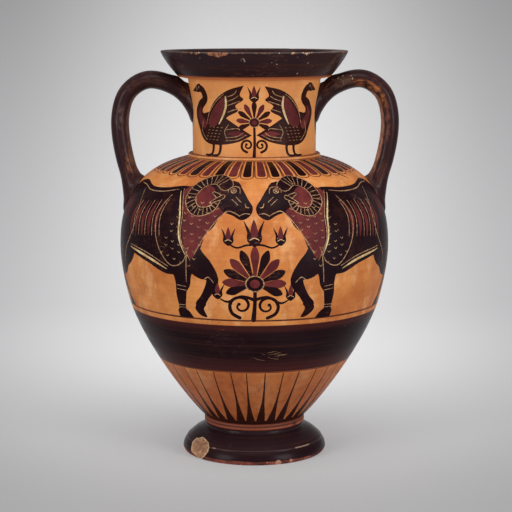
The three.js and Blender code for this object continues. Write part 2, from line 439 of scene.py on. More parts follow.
def clay_colour(finish):
    """Fired clay: broad and small blotches, buff stains, fine turning lines and dark grains,
    paler on the neck, and darker towards the foot as painted shade, with smoky mottles there."""
    cloud = finish.noise(11, 4.0, 0.6) * 0.55 + finish.noise(42, 4.0, 0.65, offset=(5, 2, 1)) * 0.45
    stain = finish.streaks(0.50, 0.66, 52, 26, 5.0, 0.66, (8, 3, 3))
    rust = finish.patches(0.57, 0.70, 55, 5.0, 0.7, offset=(2, 9, 4))
    lines = finish.streaks(0.35, 0.8, 5, 420, 3.0, 0.6)
    grains = finish.patches(0.66, 0.74, 700, 2.0, 0.5)
    on_neck = finish.by_height(292, 312)
    # Painted shade: the clay darkens towards the foot, where the bowl turns down and away from the
    # lamps, and the smoky mottles there darken it more.
    low = finish.by_height(125, 75)
    smoked = finish.streaks(0.46, 0.64, 120, 40, 5.0, 0.7, (6, 4, 4))
    return finish.layered(
        finish.toned(cloud, 0.34, 0.66, CLAY_DARK, CLAY_LIGHT),
        (stain * 0.60, (0.78, 0.41, 0.18)),
        (rust * 0.45, (0.42, 0.115, 0.036)),
        (lines * 0.25, (0.36, 0.100, 0.028)),
        (grains * 0.4, (0.20, 0.060, 0.022)),
        (on_neck * 0.5, (0.83, 0.375, 0.125)),
        (low * 0.70, (0.315, 0.075, 0.023)),
        (smoked * low * 0.45, (0.200, 0.044, 0.015)))


def slip_colour(finish, streaks, scraped, thinner=0.0, paler_black=0.0):
    """Black slip that thins to brown along the brush's strokes, rubbed, scraped and speckled."""
    cloud = finish.patches(0.42, 0.62, 16, 3.0, 0.55, offset=(3, 1, 7))
    thin = finish.ramp(streaks + thinner, 0.54, 0.84)
    worn = finish.patches(0.58, 0.74, 46, 5.0, 0.7, offset=(1, 6, 2))
    rubbed = finish.patches(0.54, 0.66, 19, 4.0, 0.6, offset=(4, 8, 1))
    rubbed = rubbed * finish.by_height(146, 166, 0.3, 1.0)
    specks = finish.patches(0.57, 0.65, 380, 4.0, 0.7, offset=(6, 1, 5))
    return finish.layered(
        finish.mix(cloud, SLIP_BLACK, (0.0150, 0.0060, 0.0085)),
        # A paler brown-black over the whole surface, as much as the given share.
        (paler_black, (0.042, 0.021, 0.024)),
        (thin * 0.75, SLIP_BROWN),
        (worn * 0.5, (0.052, 0.0165, 0.0120)),
        (rubbed * scraped * 0.6, (0.120, 0.050, 0.030)),
        (rubbed * specks * 0.6, (0.150, 0.070, 0.044)))


def wheel_scrapes(finish):
    """Short scrapes that run the way the wheel turned."""
    return finish.streaks(0.52, 0.64, 90, 520, 4.0, 0.66, (7, 2, 2))


def flakes(finish, edge, amount=0.75):
    """Where the slip has flaked: rare spots, and more of them where edge is high."""
    spots = finish.noise(260, 4.0, 0.62, offset=(9, 4, 2)) + edge * 0.16
    return finish.ramp(spots, amount, amount + 0.025)


def foot_finish():
    finish = Finish("foot_slip")
    streaks = finish.stretched(7, 520, 4.0, 0.62)
    # Painted shade: under the ridge the slip is painted a deeper black, where the foot's lower side
    # turns down and away from the lamps.
    deep = finish.ramp(finish.z, foot_ridge_level + 1 * mm, foot_ridge_level - 4 * mm)
    wobble = (finish.stretched(22, 60, 2.0) - 0.5) * 2.4 * mm
    edge = finish.ramp(finish.z + wobble, foot_low + 4.4 * mm, foot_low + 3.2 * mm)
    # Painted shade: the red edge is painted darker over its lowest 0.8 mm, where it rounds under
    # towards the floor.
    edge = edge * finish.ramp(finish.z, foot_low, foot_low + 0.8 * mm, 0.35, 1.0)
    blotches = finish.patches(0.35, 0.7, 70, 4.0, 0.65)
    under = finish.ramp(finish.from_axis(), foot_tread_radius + 3 * mm, foot_tread_radius + 1 * mm)
    under = under * finish.ramp(finish.z, foot_hollow_depth + 3 * mm, foot_hollow_depth + 1 * mm)
    # Painted highlight: a pale line along the ridge, faint all round and strong in two spots, one of
    # which is also a light scratch.
    rubbed = finish.near((51, -51, foot_ridge_level / mm), 12)
    rubbed = rubbed + finish.near((-42, -58.5, foot_ridge_level / mm), 5) + 0.10
    rubbed = rubbed * finish.beside(finish.z, foot_ridge_level, 0.8 * mm, 0.1 * mm)
    chips = flakes(finish, edge * 0.45 + 0.12, 0.74)
    for place, reach in (((23.5, -68.5, 1.6), 3.6), ((36.5, -62.5, 2.4), 2.0)):
        chips = chips.math("MAXIMUM", finish.near(place, reach, 3, 420))
    filled, fill = plaster_fill(finish)
    colour = finish.layered(
        slip_colour(finish, streaks, wheel_scrapes(finish), 0.06, 0.35),
        (deep * 0.7, SLIP_BLACK),
        (edge, finish.mix(blotches, (0.075, 0.022, 0.016), RED_WASH)),
        (under, clay_colour(finish)),
        (rubbed * 0.8, (0.36, 0.23, 0.17)),
        (chips, (0.42, 0.20, 0.13)),
        (filled, fill))
    rough = finish.gloss(streaks, 0.22, 0.36) + edge * 0.3 + chips * 0.3 + under * 0.3
    return finish.shine(colour, rough, streaks * 0.5 - chips * 0.8, 0.35, 0.16 * mm, 0.07)


def plaster_fill(finish):
    """Where an old chip of the foot is filled with plaster, and the fill's mottled buff, with a
    pale rim, a brown heart and dark scratches."""
    right = finish.x - fill_place[0]
    up = (finish.z - fill_place[2]) + (finish.y - fill_place[1]) * 0.27
    narrower = finish.ramp(up, -2 * mm, -11 * mm) * 0.45 + 1.0
    flat = finish.node("ShaderNodeCombineXYZ", {"X": right * narrower, "Y": up * 0.90})
    ragged = (finish.noise(75, 3.0, 0.6) - 0.5) * 6.5 * mm
    away = finish.vector("LENGTH", flat).out("Value") + ragged
    filled = finish.ramp(away, 9.9 * mm, 9.4 * mm) * finish.ramp(finish.y, -10 * mm, -12 * mm)
    mottled = finish.patches(0.35, 0.66, 330, 5.0, 0.7)
    heart = finish.ramp(away, 7.5 * mm, 3 * mm) * finish.ramp(up, -6 * mm, -1 * mm)
    scratched = finish.streaks(0.56, 0.64, 420, 110, 4.0, 0.6)
    return filled, finish.layered(
        finish.mix(mottled, (0.245, 0.118, 0.068), (0.53, 0.29, 0.16)),
        (heart * 0.6, (0.21, 0.115, 0.072)),
        (scratched * 0.8, (0.085, 0.042, 0.028)),
        (finish.beside(away, 9.2 * mm, 0.8 * mm, 0.2 * mm) * 0.7, (0.60, 0.43, 0.27)))


def foot_outline():
    hollow = at(foot_hollow_radius, foot_hollow_depth)
    tread = at(foot_tread_radius, foot_low)
    rest = at(foot_rest_radius, foot_low)
    side = at(foot_edge_radius, foot_low + foot_edge_height)
    throat = at(foot_top_radius + foot_throat_reach, foot_neck_level - foot_throat_fall)
    wall = bend(side, side + at(0, foot_swell_rise), throat, at(foot_top_radius, foot_neck_level), 90)
    ridge = [foot_ridge_height * math.exp(-((z - foot_ridge_level) / foot_ridge_reach) ** 2)
             for _, z in wall]
    wall = [point + at(swell, 0) for point, swell in zip(wall, ridge)]
    neck_top = at(foot_top_radius, foot_high)
    centre = at(0, foot_hollow_depth)
    return [centre, *corner(centre, hollow, tread, 6 * mm), *corner(hollow, tread, rest, 2 * mm),
            *corner(tread, rest, side, 0.8 * mm), *wall[:-1],
            *corner(wall[-2], wall[-1], neck_top, 0.5 * mm), neck_top, at(0, foot_high)]


foot = turned("turned_foot", foot_outline(), foot_finish())
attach(foot, "root")
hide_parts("foot")


# Fillet between foot and body.
# Two small rounds with a groove between them, cut into the clay where foot and body are luted
# together, and washed with thin red-brown slip.
(_, _, fillet_low), (fillet_radius, _, fillet_high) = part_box("foot_fillet")
fillet_groove_radius = 49.2 * mm
fillet_groove_level = (fillet_low + fillet_high) / 2


def fillet_finish():
    finish = Finish("fillet_wash")
    streaks = finish.stretched(9, 640, 3.0, 0.6)
    # Painted shade: the upper round, under the bowl's base, is painted darker than the lower one.
    upper = finish.ramp(finish.z, fillet_groove_level - 0.5 * mm, fillet_groove_level + 0.5 * mm)
    # Painted shade: the groove between the two rounds is painted dark.
    groove = finish.beside(finish.z, fillet_groove_level, 1.1 * mm, 0.2 * mm)
    worn = finish.patches(0.62, 0.70, 90, 4.0, 0.6)
    colour = finish.layered(
        finish.toned(streaks, 0.3, 0.7, (0.17, 0.038, 0.018), (0.38, 0.098, 0.044)),
        (upper * 0.6, (0.115, 0.030, 0.017)),
        (groove * 0.7, (0.07, 0.022, 0.016)),
        (worn * 0.7, (0.035, 0.017, 0.014)))
    return finish.shine(colour, finish.gloss(streaks, 0.45, 0.6), streaks)


def fillet_outline():
    half = (fillet_high - fillet_low) / 2
    swell = fillet_radius - fillet_groove_radius
    steps = 12
    line = [at(0, fillet_low)]
    for level in (fillet_low, fillet_low + half):
        for t in (k / steps for k in range(steps + 1)):
            bulge = swell * math.sin(t * math.pi) ** 0.7
            line.append(at(fillet_groove_radius + bulge, level + half * t))
    return [*line, at(0, fillet_high)]


fillet = turned("fillet_rounds", fillet_outline(), fillet_finish(), ripple=0.0)
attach(fillet, "root")
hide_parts("foot_fillet")


# Lower body.
# The bowl of the jar with its floor, thrown in clay and luted to the belly at the top of the
# broad black band. Under the band, rays rise from a black ring to hair-fine tips.
BARE, BLACK, RED, CREAM, CUT, WASH = range(6)
CLAY_PALE = (0.60, 0.37, 0.19)
# Points of the unrolled wall that are closer than this, in mm, become one point.
PAINT_WELD = 0.004
# A point as close as this to an end of the unrolled wall, in mm, lies on that end.
EDGE_REACH = 0.001
# A point as close as this to the wall's outside, in mm, takes the outside's own normal.
OUTSIDE_REACH = 0.02


def bare_finish():
    finish = Finish("bare_clay")
    height = finish.stretched(5, 420, 3.0, 0.6) * 0.6 + finish.noise(700, 2.0) * 0.4
    rough = finish.ramp(finish.noise(40, 3.0), 0.3, 0.7, 0.42, 0.56)
    return finish.shine(clay_colour(finish), rough, height, 0.25, 0.12 * mm, 0.14)


def black_finish():
    """Black slip with streaks from the wheel on the band, and from the brush on the figures."""
    finish = Finish("black_slip")
    streaks = finish.stretched(6, 560, 4.0, 0.62)
    brushed = finish.noise(48, 5.0, 0.68, offset=(2, 2, 8))
    on_figures = finish.by_height(151, 153)
    streaks = streaks + (brushed - streaks) * on_figures * 0.8
    on_rays = finish.by_height(99, 92)
    on_neck = finish.by_height(300, 304)
    low_edge = finish.by_height(119, 101) * finish.by_height(98, 100)
    high_edge = finish.by_height(138, 147) * finish.by_height(151, 149)
    edges = (low_edge + high_edge) * finish.ramp(streaks, 0.30, 0.62, 0.35, 0.9)
    chips = flakes(finish, on_figures * 0.10, 0.755)
    colour = finish.layered(
        slip_colour(finish, streaks, wheel_scrapes(finish), 0.05),
        ((on_rays + on_neck) * 0.45, (0.048, 0.0120, 0.0055)),
        (edges, (0.060, 0.0140, 0.0130)),
        (chips, CLAY_PALE))
    rough = finish.gloss(streaks, 0.24, 0.40) + chips * 0.3
    return finish.shine(colour, rough, streaks * 0.5 - chips, 0.35, 0.16 * mm, 0.05)


def red_finish():
    finish = Finish("added_red")
    cloud = finish.noise(60, 4.0, 0.65)
    worn = finish.patches(0.62, 0.72, 300, 3.0, 0.6)
    colour = finish.layered(
        finish.toned(cloud, 0.3, 0.75, (0.085, 0.0135, 0.0165), (0.160, 0.029, 0.026)),
        (worn * 0.6, (0.03, 0.010, 0.010)))
    return finish.shine(colour, finish.ramp(cloud, 0.2, 0.8, 0.50, 0.66), cloud, specular=0.08)


def cream_finish():
    finish = Finish("added_cream")
    cloud = finish.noise(180, 4.0, 0.65)
    worn = finish.patches(0.64, 0.70, 520, 3.0, 0.6)
    colour = finish.layered(
        finish.toned(cloud, 0.35, 0.7, (0.50, 0.30, 0.125), (0.80, 0.62, 0.34)),
        (worn * 0.6, (0.10, 0.045, 0.03)))
    return finish.shine(colour, 0.62, cloud, 0.4)


def cut_finish():
    finish = Finish("incised_line")
    cloud = finish.noise(420, 3.0, 0.6)
    colour = finish.toned(cloud, 0.35, 0.7, (0.22, 0.10, 0.048), (0.56, 0.34, 0.17))
    return finish.shine(colour, 0.7, cloud, 0.5)


def wash_finish():
    finish = Finish("thin_wash")
    streaks = finish.stretched(14, 300, 3.0, 0.6)
    colour = finish.toned(streaks, 0.3, 0.7, (0.060, 0.0160, 0.0100), (0.215, 0.054, 0.020))
    rough = finish.gloss(streaks, 0.38, 0.52)
    return finish.shine(colour, rough, streaks, 0.25, 0.2 * mm, 0.12)


paints = [bare_finish(), black_finish(), red_finish(), cream_finish(), cut_finish(), wash_finish()]


def covered(outline, spots):
    """Tells which spots lie inside an outline, by how often it winds round them."""
    turns = np.zeros(len(spots), int)
    for a, b in zip(outline, np.roll(outline, -1, 0)):
        side = (b[0] - a[0]) * (spots[:, 1] - a[1]) - (spots[:, 0] - a[0]) * (b[1] - a[1])
        turns += (a[1] <= spots[:, 1]) & (b[1] > spots[:, 1]) & (side > 0)
        turns -= (a[1] > spots[:, 1]) & (b[1] <= spots[:, 1]) & (side < 0)
    return turns != 0


class Wall:
    """Outside of a turned wall, unrolled: u runs round it, v runs up along the clay, both in mm."""

    def __init__(self, line):
        self.r, self.z = np.array(line).T / mm
        self.v = np.concatenate(([0], np.cumsum(np.hypot(np.diff(self.r), np.diff(self.z)))))
        self.wide = self.r.max()
        self.grounds = []
        self.strokes = []

    def level(self, z):
        return float(np.interp(z / mm, self.z, self.v))

    def band(self, top, paint):
        """The paint of the ground from the last band's top up to this height."""
        self.grounds.append((self.level(top), paint))

    def lay(self, art, angle, base, size=1.0, follow=1.0):
        """Lays flat strokes on the wall, their x = 0 at an angle and their y = 0 at a height. At
        follow 1 they keep their width at every height, and below it tall figures stay upright."""
        for paint, outline in art:
            x, y = np.array(outline, float).T * size
            v = self.level(base) + y
            across = self.wide + (np.interp(v, self.v, self.r) - self.wide) * follow
            u = angle * self.wide + x * self.wide / across
            self.strokes.append((paint, np.column_stack((u, v))))

    def placed(self, start):
        """The strokes, moved by whole turns to lie past the seam, where the unrolled wall starts
        and ends. What crosses the seam is cut off there."""
        turn = TURN * self.wide
        placed = []
        for paint, outline in self.strokes:
            middle = outline[:, 0].mean()
            outline = outline + (math.floor((start + turn - middle) / turn) * turn, 0)
            outline[:, 0] = np.clip(outline[:, 0], start, start + turn)
            placed.append((paint, outline))
        return placed

    def paint_at(self, spots, levels, strokes):
        """The paint of each spot: that of its band, or of the last stroke laid over it."""
        paint_of = np.zeros(len(spots), int)
        for low, high, (_, paint) in zip(levels, levels[1:], self.grounds):
            paint_of[(spots[:, 1] > low) & (spots[:, 1] < high)] = paint
        for paint, outline in strokes:
            low, high = outline.min(0), outline.max(0)
            close = np.nonzero(((spots > low) & (spots < high)).all(1))[0]
            paint_of[close[covered(outline, spots[close])]] = paint
        return paint_of

    def piece(self, name, inside, seam, steps=288, pitch=3.0):
        """The wall as a piece, cut along every painted outline and the edge of every band."""
        levels = [0.0] + [top for top, _ in self.grounds]
        rows = [0.0]
        for low, high in zip(levels, levels[1:]):
            count = max(1, math.ceil((high - low) / pitch))
            rows += [low + (high - low) * (k + 1) / count for k in range(count)]
        start = seam * self.wide
        columns = [start + k * TURN * self.wide / steps for k in range(steps + 1)]
        points = [(u, v) for v in rows for u in columns]
        edges = []
        for row, v in enumerate(rows):
            if v in levels:
                edges += [(row * (steps + 1) + k, row * (steps + 1) + k + 1) for k in range(steps)]
        strokes = self.placed(start)
        for _, outline in strokes:
            first = len(points)
            points += [tuple(p) for p in outline]
            edges += [(first + k, first + (k + 1) % len(outline)) for k in range(len(outline))]
        cut = delaunay_2d_cdt([Vector(p) for p in points], edges, [], 0, PAINT_WELD)
        flat = np.array([tuple(p) for p in cut[0]])
        faces = np.array(cut[2])
        paint_of = self.paint_at(flat[faces].mean(1), levels, strokes)
        a, b, c = flat[faces].transpose(1, 0, 2)
        turned_over = np.cross(b - a, c - a) < 0
        faces[turned_over] = faces[turned_over][:, ::-1]
        return new_object(name, self.rolled(name, flat, faces, paint_of, inside, columns))

    def rolled(self, name, flat, faces, paint_of, inside, columns):
        """Rolls the flat cut round the axis and closes it with the inside of the wall."""
        def in_space(radii, angles, heights):
            return np.column_stack((radii * np.cos(angles), radii * np.sin(angles), heights))

        angles = flat[:, 0] / self.wide
        radii = np.interp(flat[:, 1], self.v, self.r)
        heights = np.interp(flat[:, 1], self.v, self.z)
        outside = in_space(radii, angles, heights) * mm
        rings = [[k for k in np.argsort(flat[:, 0]) if abs(flat[k, 1] - edge) < EDGE_REACH]
                 for edge in (self.v[-1], 0)]
        count = len(columns)
        round_angles = np.array(columns) / self.wide
        inner = [in_space(r, round_angles, np.full(count, z)) for r, z in inside]
        firsts = [len(outside) + k * count for k in range(len(inside))]
        order = [rings[0], *(list(range(first, first + count)) for first in firsts), rings[1]]
        quads = []
        for upper, lower in zip(order, order[1:]):
            quads += [(upper[k], upper[k + 1], lower[k + 1], lower[k]) for k in range(count - 1)]
        mesh = bpy.data.meshes.new(name)
        mesh.from_pydata(np.vstack((outside, *inner)).tolist(), [], faces.tolist() + quads)
        for finish in paints:
            mesh.materials.append(finish)
        mesh.polygons.foreach_set("material_index", list(paint_of) + [BARE] * len(quads))
        made = bmesh.new()
        made.from_mesh(mesh)
        bmesh.ops.remove_doubles(made, verts=made.verts, dist=PAINT_WELD * mm)
        made.to_mesh(mesh)
        made.free()
        mesh.shade_smooth()
        self.smooth(mesh)
        return mesh

    def smooth(self, mesh):
        """Gives the outside the wall's own normals, so that the cuts don't show in the gloss."""
        leans, rises = np.gradient(self.r, self.v), np.gradient(self.z, self.v)
        normals = []
        for x, y, z in (vertex.co for vertex in mesh.vertices):
            radius = math.hypot(x, y)
            if abs(radius / mm - np.interp(z / mm, self.z, self.r)) > OUTSIDE_REACH:
                normals.append((0, 0, 0))
                continue
            rise = np.interp(z / mm, self.z, rises)
            lean = np.interp(z / mm, self.z, leans)
            normals.append(Vector((x / radius * rise, y / radius * rise, -lean)).normalized())
        mesh.normals_split_custom_set_from_vertices(normals)


(_, _, bowl_low), (bowl_top_radius, _, bowl_high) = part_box("lower_body")
bowl_base_radius = 49.4 * mm
bowl_foot_curve = 9.5 * mm
bowl_foot_slope = 1.27
bowl_top_curve = 44 * mm
wall_thickness = 6.5 * mm
floor_thickness = 9 * mm
seam_lean = 0.35
ray_count = 35
first_ray = -93.6
bowl_seam = math.radians(180 + first_ray)
# The plain inside takes only every twelfth point of the wall's line.
bowl_inside_step = 12
ray_base = 40.5 * mm
ray_tip = 97.6 * mm
band_low = 99.6 * mm

bowl_line = bend(
    at(bowl_base_radius, bowl_low),
    at(bowl_base_radius + bowl_foot_curve * bowl_foot_slope, bowl_low + bowl_foot_curve),
    at(bowl_top_radius - bowl_top_curve * seam_lean, bowl_high - bowl_top_curve),
    at(bowl_top_radius, bowl_high),
    240,
)


def moved_in(line, thickness):
    """The same line moved inwards, square to itself."""
    along = np.gradient(np.array(line), axis=0)
    along /= np.linalg.norm(along, axis=1)[:, None]
    return [at(p[0] - a[1] * thickness, p[1] + a[0] * thickness) for p, a in zip(line, along)]


def through(points, closed=False, steps=7):
    """An even curve through given points. A point given twice is a sharp corner."""
    count = len(points)
    curve = []
    for k in range(count if closed else count - 1):
        b, c = points[k], points[(k + 1) % count]
        if b == c:
            continue
        a = points[k - 1] if closed or k > 0 else b
        d = points[(k + 2) % count] if closed or k + 2 < count else c
        for t in (step / steps for step in range(steps)):
            curve.append(tuple(
                0.5 * (2 * q + (r - p) * t + (2 * p - 5 * q + 4 * r - s) * t ** 2
                       + (3 * q - p - 3 * r + s) * t ** 3)
                for p, q, r, s in zip(a, b, c, d)))
    return curve if closed else curve + [points[-1]]


def stroke(points, widths, steps=6, blunt=False):
    """Outline of a brush stroke along a curve, with the brush's width at each point."""
    line = np.array(through(points, steps=steps))
    place = np.linspace(0, len(widths) - 1, len(line))
    low = np.minimum(place.astype(int), len(widths) - 2)
    share = place - low
    share = share ** 2 * (3 - 2 * share)
    wide = np.array(widths, float)
    half = (wide[low] * (1 - share) + wide[low + 1] * share) / 2
    along = np.gradient(line, axis=0)
    along /= np.maximum(np.linalg.norm(along, axis=1), 1e-9)[:, None]
    square = np.column_stack((-along[:, 1], along[:, 0])) * half[:, None]

    def tip(k, way):
        """The round end of a stroke, unless it is blunt or too thin to need one."""
        if blunt or half[k] < 0.25:
            return []
        lean = math.atan2(along[k][1] * way, along[k][0] * way)
        return [(line[k][0] + math.cos(lean + q) * half[k], line[k][1] + math.sin(lean + q) * half[k])
                for q in (0.9, 0.45, 0.0, -0.45, -0.9)]

    left = [tuple(p) for p in line + square]
    right = [tuple(p) for p in (line - square)[::-1]]
    return left + tip(-1, 1) + right + tip(0, -1)


def ray(wall, rng):
    """A ray: broad at the foot, drawn out to a thin line, never quite straight."""
    shares = (0, 0.05, 0.16, 0.28, 0.39, 0.50, 0.60, 0.69, 0.79, 0.88, 1)
    widths = (8.4, 7.9, 6.1, 4.3, 2.9, 2.1, 1.7, 1.45, 1.25, 1.1, 0.95)
    height = wall.level(ray_tip) - wall.level(ray_base)
    lean, bow, fat = rng.uniform(-1.2, 1.2), rng.uniform(-0.6, 0.6), rng.uniform(0.85, 1.15)
    line = [(lean * share + bow * math.sin(math.pi * share), share * height) for share in shares]
    widths = [w * (fat if w < 7 else 1) for w in widths]
    return [(BLACK, stroke(line, widths, 2, True))]


def scratches(wall, angle, height, count, reach, rng, paint=CUT):
    """A few short scratches that let the clay show."""
    for _ in range(count):
        x, y = rng.uniform(-reach, reach), rng.uniform(-reach, reach) * 0.3
        long, lean = rng.uniform(0.12, 0.4) * reach, rng.uniform(-0.5, 0.35)
        points = [(x, y), (x + long, y + long * lean), (x + 2 * long, y + long * lean * 1.4)]
        wall.lay([(paint, stroke(points, [0.12, 0.30, 0.12], 3, True))], math.radians(angle), height)


def painted_bowl():
    rng = random.Random(4)
    wall = Wall(bowl_line)
    wall.band(ray_base, BLACK)
    wall.band(ray_tip + 0.4 * mm, BARE)
    wall.band(band_low, WASH)
    wall.band(bowl_high, BLACK)
    for k in range(ray_count):
        turn = k * TURN / ray_count + rng.uniform(-0.007, 0.007) + math.radians(first_ray)
        wall.lay(ray(wall, rng), turn, ray_base)
    scratches(wall, -106.5, 143.5 * mm, 5, 5, rng, WASH)
    scratches(wall, -86, 119.5 * mm, 9, 15, rng)
    scratches(wall, -111, 89 * mm, 7, 5, rng)
    inner = moved_in(bowl_line, wall_thickness)[::-bowl_inside_step]
    floor = bowl_low + floor_thickness
    inner = [p for p in inner if floor + 5 * mm < p[1] < bowl_high - wall_thickness]
    inside = [at(bowl_top_radius - wall_thickness * math.hypot(1, seam_lean), bowl_high), *inner,
              at(bowl_base_radius - wall_thickness, floor), at(0, floor), at(0, bowl_low)]
    return wall.piece("painted_bowl", inside, bowl_seam)


bowl = painted_bowl()
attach(bowl, "root")
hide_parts("lower_body")


# Upper body.
# Belly and shoulder, thrown in one and open at the seam and at the neck. Round it runs the
# picture frieze, laid in slip with details cut through to the clay, under a row of tongues.
(_, _, belly_low), (belly_radius, _, belly_high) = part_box("upper_body")
belly_level = belly_low + 61.6 * mm
belly_foot_curve = 10 * mm
belly_lower_curve = 23.5 * mm
belly_upper_curve = 41 * mm
shoulder_top_curve = 55.4 * mm
shoulder_slope = 0.2
shoulder_top_radius = 63.6 * mm
neck_bore_radius = 55.4 * mm
ground_line = 153.2 * mm
ground_line_width = 1.6 * mm
frieze_base = ground_line + ground_line_width
tongue_count = 44
belly_seam = 6 * TURN / tongue_count
belly_inside_step = 10
tongue_tip = 283.5 * mm

belly_line = bend(
    at(bowl_top_radius, belly_low),
    at(bowl_top_radius + belly_foot_curve * seam_lean, belly_low + belly_foot_curve),
    at(belly_radius, belly_level - belly_lower_curve),
    at(belly_radius, belly_level),
    120,
)
shoulder_line = bend(
    at(belly_radius, belly_level),
    at(belly_radius, belly_level + belly_upper_curve),
    at(shoulder_top_radius + shoulder_top_curve, belly_high - shoulder_top_curve * shoulder_slope),
    at(shoulder_top_radius, belly_high),
    240,
)
upper_line = belly_line + shoulder_line[1:]


def dot(x, y, wide, high=None, lean=0.0, count=14):
    """A round or oval touch of the brush."""
    high = high or wide
    c, s = math.cos(lean), math.sin(lean)
    angles = [TURN * k / count for k in range(count)]
    ring = [(wide * math.cos(angle), high * math.sin(angle)) for angle in angles]
    return [(x + c * a - s * b, y + s * a + c * b) for a, b in ring]


def turned_about(art, about=0.0):
    """The same figure facing the other way."""
    return [(paint, [(2 * about - x, y) for x, y in outline][::-1]) for paint, outline in art]


def moved(art, x, y, wide, high):
    """The same figure at another place and size."""
    return [(paint, [(a * wide + x, b * high + y) for a, b in outline]) for paint, outline in art]


def by_hand(art, rng, amount=0.9):
    """Bends a figure gently, as no two painted by hand are alike."""
    waves = [(rng.uniform(0.02, 0.06), rng.uniform(0.02, 0.06), rng.uniform(0, TURN)) for _ in range(4)]

    def shift(x, y, pair):
        return sum(amount * math.sin(a * x + b * y + p) for a, b, p in pair)

    return [(paint, [(x + shift(x, y, waves[:2]), y + shift(x, y, waves[2:]) * min(1, y / 12))
                     for x, y in outline]) for paint, outline in art]


def ram():
    """A standing ram that faces right, hooves on y = 0, in mm."""
    far = [
        (BLACK, stroke([(-56, 74), (-65, 50), (-79, 31), (-73, 13), (-72, 6)], [42, 30, 12, 7.6, 8.2])),
        (BLACK, through([(-77, 8), (-68, 8), (-61, 0), (-61, 0), (-78, 0), (-78, 0)], True)),
        (BLACK, stroke([(42, 64), (62, 50), (74, 38), (65, 22), (58, 14)], [40, 22, 12, 7.6, 8])),
        (BLACK, through([(60, 18), (53, 11), (57, 4), (64, 2), (62, 10), (65, 15)], True)),
    ]
    body = [(BLACK, through([
        (62, 62), (67, 88), (57, 112), (34, 123), (6, 120), (-20, 120), (-46, 126), (-66, 119),
        (-79, 100), (-76, 74), (-60, 55), (-32, 55), (0, 48), (26, 40), (48, 45)], True))]
    near = [
        (BLACK, stroke([(-52, 90), (-45, 62), (-52, 45), (-64, 30), (-55, 14), (-52, 6)],
                       [54, 50, 28, 12, 8, 9])),
        (BLACK, through([(-56.5, 8), (-47, 8), (-40, 0), (-40, 0), (-57, 0), (-57, 0)], True)),
        (BLACK, stroke([(36, 78), (41, 54), (43, 37), (40, 25), (39, 11), (39, 6)],
                       [48, 37, 18, 11.6, 8, 8.8])),
        (BLACK, through([(34, 8), (44, 8), (50, 0), (50, 0), (34, 0), (34, 0)], True)),
    ]
    head = [
        (BLACK, stroke([(40, 92), (56, 104), (67, 112), (76, 118)], [60, 53, 41, 29])),
        (BLACK, through([(66, 127), (77, 132), (88, 125), (100, 111), (106.5, 103), (105.5, 95.5),
                         (98, 91.5), (89, 95.5), (78, 99), (66, 105)], True)),
        (BLACK, stroke([(-68, 109), (-79, 99), (-82, 83), (-79, 66)], [11, 12, 11, 5])),
    ]
    reds = [(RED, through([(32, 119), (41, 96), (44, 73), (53, 56), (63, 68), (71, 86), (80, 97),
                           (71, 106), (62, 122), (50, 125)], True))]
    for k in range(5):
        x = 10 - 10.5 * k
        reds.append((RED, stroke([(x + 3, 106 - k), (x - 2, 90 - k), (x, 74 - k)], [1.2, 5.2, 1.2])))
    for k in range(3):
        x = -61 + 7.5 * k
        reds.append((RED, stroke([(x, 108 - k), (x - 4, 96 - k), (x - 2, 83)], [1.0, 4.2, 1.0])))
    reds.append((RED, stroke([(-61, 46), (-58, 39), (-61, 32)], [1, 3.4, 1])))
    creams = [(CREAM, stroke([(-30, 58.5), (-10, 55), (8, 50.5), (25, 44.5)], [0.6, 2.2, 2.2, 0.6])),
              (CREAM, stroke([(28, 117), (37, 96), (40, 74), (48, 58)], [0.5, 1.7, 1.7, 0.5]))]
    return far + body + near + head + reds + creams + ram_horn() + ram_wool() + ram_lines()


def ram_horn():
    """The curled horn with its rings, and the ear inside the curl."""
    curl = [(73, 126), (61, 134), (47, 127), (43, 111), (53, 99), (67, 101), (71, 112), (64, 117)]
    horn = [(CUT, stroke(curl, [13, 14, 12.6, 11, 9.4, 7.6, 5.4, 3.0])),
            (BLACK, stroke(curl, [11.6, 12.6, 11.2, 9.6, 8.0, 6.2, 4.0, 1.8]))]
    line = through(curl, steps=4)
    for k in range(2, len(line) - 5):
        (ax, ay), (bx, by), (cx, cy) = line[k - 1:k + 2]
        reach = (5.4 * (1 - k / len(line)) + 1.0) / math.hypot(cx - ax, cy - ay)
        across = ((cy - ay) * reach, (cx - ax) * reach)
        ends = [(bx - across[0], by + across[1]), (bx + across[0], by - across[1])]
        horn.append((CUT, stroke(ends, [0.55, 0.55], 1, True)))
    horn.append((CUT, stroke([(74, 113), (65, 107)], [5.4, 2.6], 3)))
    horn.append((BLACK, stroke([(74, 113), (65.6, 107.5)], [4.0, 1.2], 3)))
    return horn


def ram_wool():
    """Rows of short cut dashes for the fleece of the neck and the shoulder."""
    dashes = []
    for row in range(9):
        for k in range(5):
            share = row / 8
            x = 38 + 22 * share + 8.0 * (k - 2) + (row % 2) * 3 - 3
            y = 60 + 52 * share - 2.6 * k
            dashes.append((CUT, stroke([(x - 1.7, y + 0.5), (x, y - 0.9), (x + 1.7, y + 0.5)],
                                       [0.35, 0.6, 0.35], 3, True)))
    return dashes


